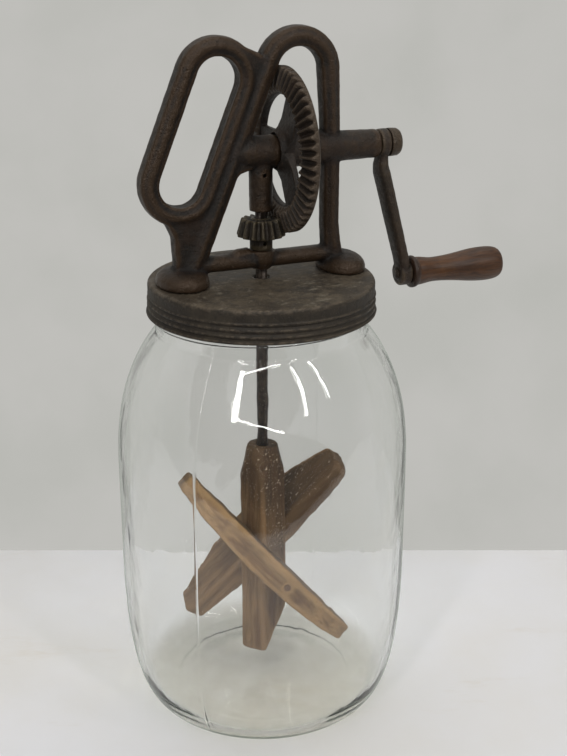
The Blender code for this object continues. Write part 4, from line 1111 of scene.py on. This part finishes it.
grip_place = grip_line @ Matrix.Translation((0, 0, grip_start))
grip = turned("turned_grip", grip_profile[::-1], grip_place, 160, grip_relief)
wood = new_material("grip_wood")
fibre = wood.noise(1.1, 5, 0.62, stretch=(14, 1, 1), warp=0.3)
figure = wood.noise(5.2, 4, 0.6, stretch=(5, 1, 1), warp=0.8)
along = wood.axis("X")
patch = wood.noise(11, 4, 0.6)
varnish = wood.surface(
    Base_Color=wood.layered(
        (80, 50, 26),
        (wood.ease(figure, 0.32, 0.68), (54, 32, 17)),
        (wood.ease(fibre, 0.52, 0.72) * 0.75, (34, 22, 14)),
        (wood.ease(patch, 0.5, 0.75) * 0.35, (104, 72, 42)),
        (wood.ease(along, grip_start + 0.0046, grip_start + 0.0022) * 0.75, (36, 26, 20)),
    ),
    Roughness=wood.ease(fibre, 0.35, 0.7, 0.36, 0.56),
    Coat_Weight=wood.ease(patch, 0.3, 0.7, 0.1, 0.02),
    Coat_Roughness=0.3,
    Specular_IOR_Level=0.35,
    Normal=wood.bump(fibre, 0.4, 0.6),
)
dress(grip, varnish)
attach(grip, "grip")
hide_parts("wooden_grip")

pin_end = grip_start + grip_length + 0.0003
rivet = drawn(pin_end, (0, 2.1), (0.8, 2), (1.8, 1.4), (2.4, 0.5), (2.3, 0), (1.65, 0))
rivet += drawn(arm_foot_start, (1.65, -0.3), (3.2, -0.3), (3, -0.8), (1.8, -1.2), (0, -1.2))
rivet_pin = turned("rivet_pin", rivet, grip_line, 40)
dress(rivet_pin, steel)
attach(rivet_pin, "crank")
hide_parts("grip_pin")


# Dasher: a steel rod pinned into a whittled wooden post, with two worn sloping blades let into it.
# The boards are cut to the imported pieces' outline, rounded by wear, and their grain is raised in ridges.
wood_voxel = 0.0007
grain_height = 0.00016


def worn_wood(name, node, grain_turn, swell):
    """A copy of a packed wooden piece with worn corners and weathered grain along its length.

    The swell makes up for the wear: shares of the length above the middle, the width and the thickness."""
    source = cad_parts[node]
    shape = bmesh.new()
    shape.from_mesh(source.data)
    shape.transform(grain_turn.inverted() @ source.matrix_world)
    for vert in shape.verts:
        vert.co.x *= swell[0] if vert.co.x < 0 else 1
        vert.co.y *= swell[1]
        vert.co.z *= swell[2]
    item = link(name, close_up(shape, name))
    soften(item, wood_voxel, 6)
    moves = []
    for point in item.data.vertices:
        spot = point.co
        ridge = noise.noise(Vector((spot.x * 28, spot.y * 420, spot.z * 420)))
        broad = noise.noise(Vector((spot.x * 22, spot.y * 90, spot.z * 90)))
        moves.append(point.normal * grain_height * (0.4 + ridge + 0.8 * broad))
    for point, move in zip(item.data.vertices, moves):
        point.co -= move
    item.data.transform(grain_turn)
    return item


def wood_material(name, turn, pale, darkening):
    """Bare weathered wood: grain lines along the board, grey-brown patches, pale rubbed edges, and darker
    parts from each piece's own mask: water stains, with painted shade on the post's right side.
    """
    wood = new_material(name)
    dark = (56, 39, 25)
    line = wood.noise(1.3, 5, 0.64, stretch=(16, 1, 1), turn=turn, warp=0.25)
    vein = wood.noise(4.8, 4, 0.6, stretch=(7, 1, 1), turn=turn, warp=0.6)
    patch = wood.noise(16, 5, 0.6, stretch=(2.2, 1, 1), turn=turn)
    speck = wood.ease(wood.noise(1.2, 2, 0.5), 0.6, 0.72)
    rubbed = wood.ease(wood.relief() + (patch - 0.5) * 0.12, 0.03, 0.22)
    # Each piece's mask darkens the wood: water stains, and painted shade on the post's right side.
    darkened = wood.ease(darkening(wood, patch), 0, 1)
    colour = wood.layered(
        pale,
        (wood.ease(vein, 0.34, 0.66), (96, 71, 46)),
        (wood.ease(patch, 0.42, 0.7) * 0.5, dark),
        (wood.ease(line, 0.5, 0.72) * 0.6, dark),
        (rubbed * 0.6, pale),
        (darkened * 0.9, (38, 26, 17)),
        (darkened * wood.ease(line, 0.35, 0.6) * 0.4, (84, 62, 42)),
        (darkened * speck * wood.ease(patch, 0.44, 0.56), (190, 178, 158)),
    )
    return wood.surface(
        Base_Color=colour,
        Roughness=wood.ease(line, 0.3, 0.7, 0.6, 0.76) - darkened * 0.2,
        Specular_IOR_Level=0.18,
        Normal=wood.bump(line * 0.7 + vein * 0.4, 0.5, 0.7),
    )


dasher_turn = Matrix.Rotation(radians(dasher_angle), 4, "Z")
blade_tilt = radians(47.5)
blade_roll = radians(-18)
blade_height = 0.0783
blade_shift = 0.005
blade_half_length = 0.064
blade_inner = 0.0045
blade_end_width = 0.019
blade_bow = 0.0165
pale_wood = (130, 103, 73)


def broad_face(wood, about):
    """1 on a blade's broad faces and 0 on its bowed outer edge."""
    turn = blade_turn(about)
    spot = wood.framed(1000, turn=tuple(turn.to_euler()), centre=(0, 0, blade_height))
    along = (spot.part("X") + blade_shift) * (1 / blade_half_length)
    edge = blade_inner + blade_end_width + blade_bow * (1 - along * along)
    return wood.ease(edge + spot.part("Y"), 0.0008, 0.003)


def blade_turn(about):
    """From a blade's own frame, with its length along X and its outer edge to -Y."""
    tilted = Matrix.Rotation(blade_tilt, 4, "Y") @ Matrix.Rotation(blade_roll, 4, "X")
    return dasher_turn @ Matrix.Rotation(about, 4, "Z") @ tilted


def front_face_darkening(wood, patch):
    """The front blade's broad face is darker than its golden edge."""
    return broad_face(wood, 0) * wood.ease(patch, 0.3, 0.6, 0.25, 0.45)


def rear_stain(wood, patch):
    """The rear blade's upper half is dark with a water stain, except along its worn edge."""
    height = wood.ease(wood.axis("Z") + (patch - 0.5) * 0.03, 0.078, 0.1)
    return height * (0.2 + 0.45 * broad_face(wood, pi))


def post_stain_and_shade(wood, patch):
    """The post's upper end is darkened by a water stain round the rod; its right side is darker still, water
    stain with painted shade.
    """
    side = wood.framed(1000, turn=(0, 0, radians(dasher_angle))).part("X")
    # Painted shade, with water stain, on the post's right side.
    right_stain_and_shade = wood.ease(side + (patch - 0.5) * 0.004, 0.0005, 0.003)
    height = wood.axis("Z") + (patch - 0.5) * 0.03
    return wood.ease(height, 0.098, 0.14) * 0.7 + wood.ease(height, 0.06, 0.095) * right_stain_and_shade * 0.5


boards = []
for name, node, about, palest, darkening in (
    ("front_board", "front_blade", 0, (142, 115, 82), front_face_darkening),
    ("rear_board", "rear_blade", pi, pale_wood, rear_stain),
    ("whittled_post", "dasher_post", None, pale_wood, post_stain_and_shade),
):
    if about is None:
        turn = dasher_turn @ Matrix.Rotation(pi / 2, 4, "Y")
        swell = (1, 1, 1)
    else:
        turn = blade_turn(about)
        turn.translation = (0, 0, blade_height)
        swell = (1.035, 1.0, 1.28)
    piece = worn_wood(name, node, turn, swell)
    if about is None:
        bored(piece, *boards)
    else:
        boards.append(link("slot", piece.data.copy()))
    piece.data.shade_smooth()
    dress(piece, wood_material(name, tuple(turn.to_euler()), palest, darkening), 30)
    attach(piece, "dasher")
    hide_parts(node)

rod_outline = drawn(0, (0, 124), (2.6, 124), (3.1, 124.5), (3.1, 302.5), (2.6, 303.037), (0, 303.037))
rod = turned("dasher_rod", rod_outline, steps=40)
post_key = 0.14
bored(rod, key_peg(pinion_key), key_peg(post_key, dasher_turn))
dress(rod, steel)
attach(rod, "dasher")
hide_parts("dasher_shaft")

rusty = iron_material("nail_rust", (84, 60, 40), (110, 84, 58), (70, 48, 32), 0.05)
for node in ("nut_washer", "gear_spacer", "gear_pin", "pinion_pin", "post_pin", "front_nail", "rear_nail"):
    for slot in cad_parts[node].material_slots:
        slot.material = rusty if node.endswith("nail") or node == "post_pin" else arm_iron
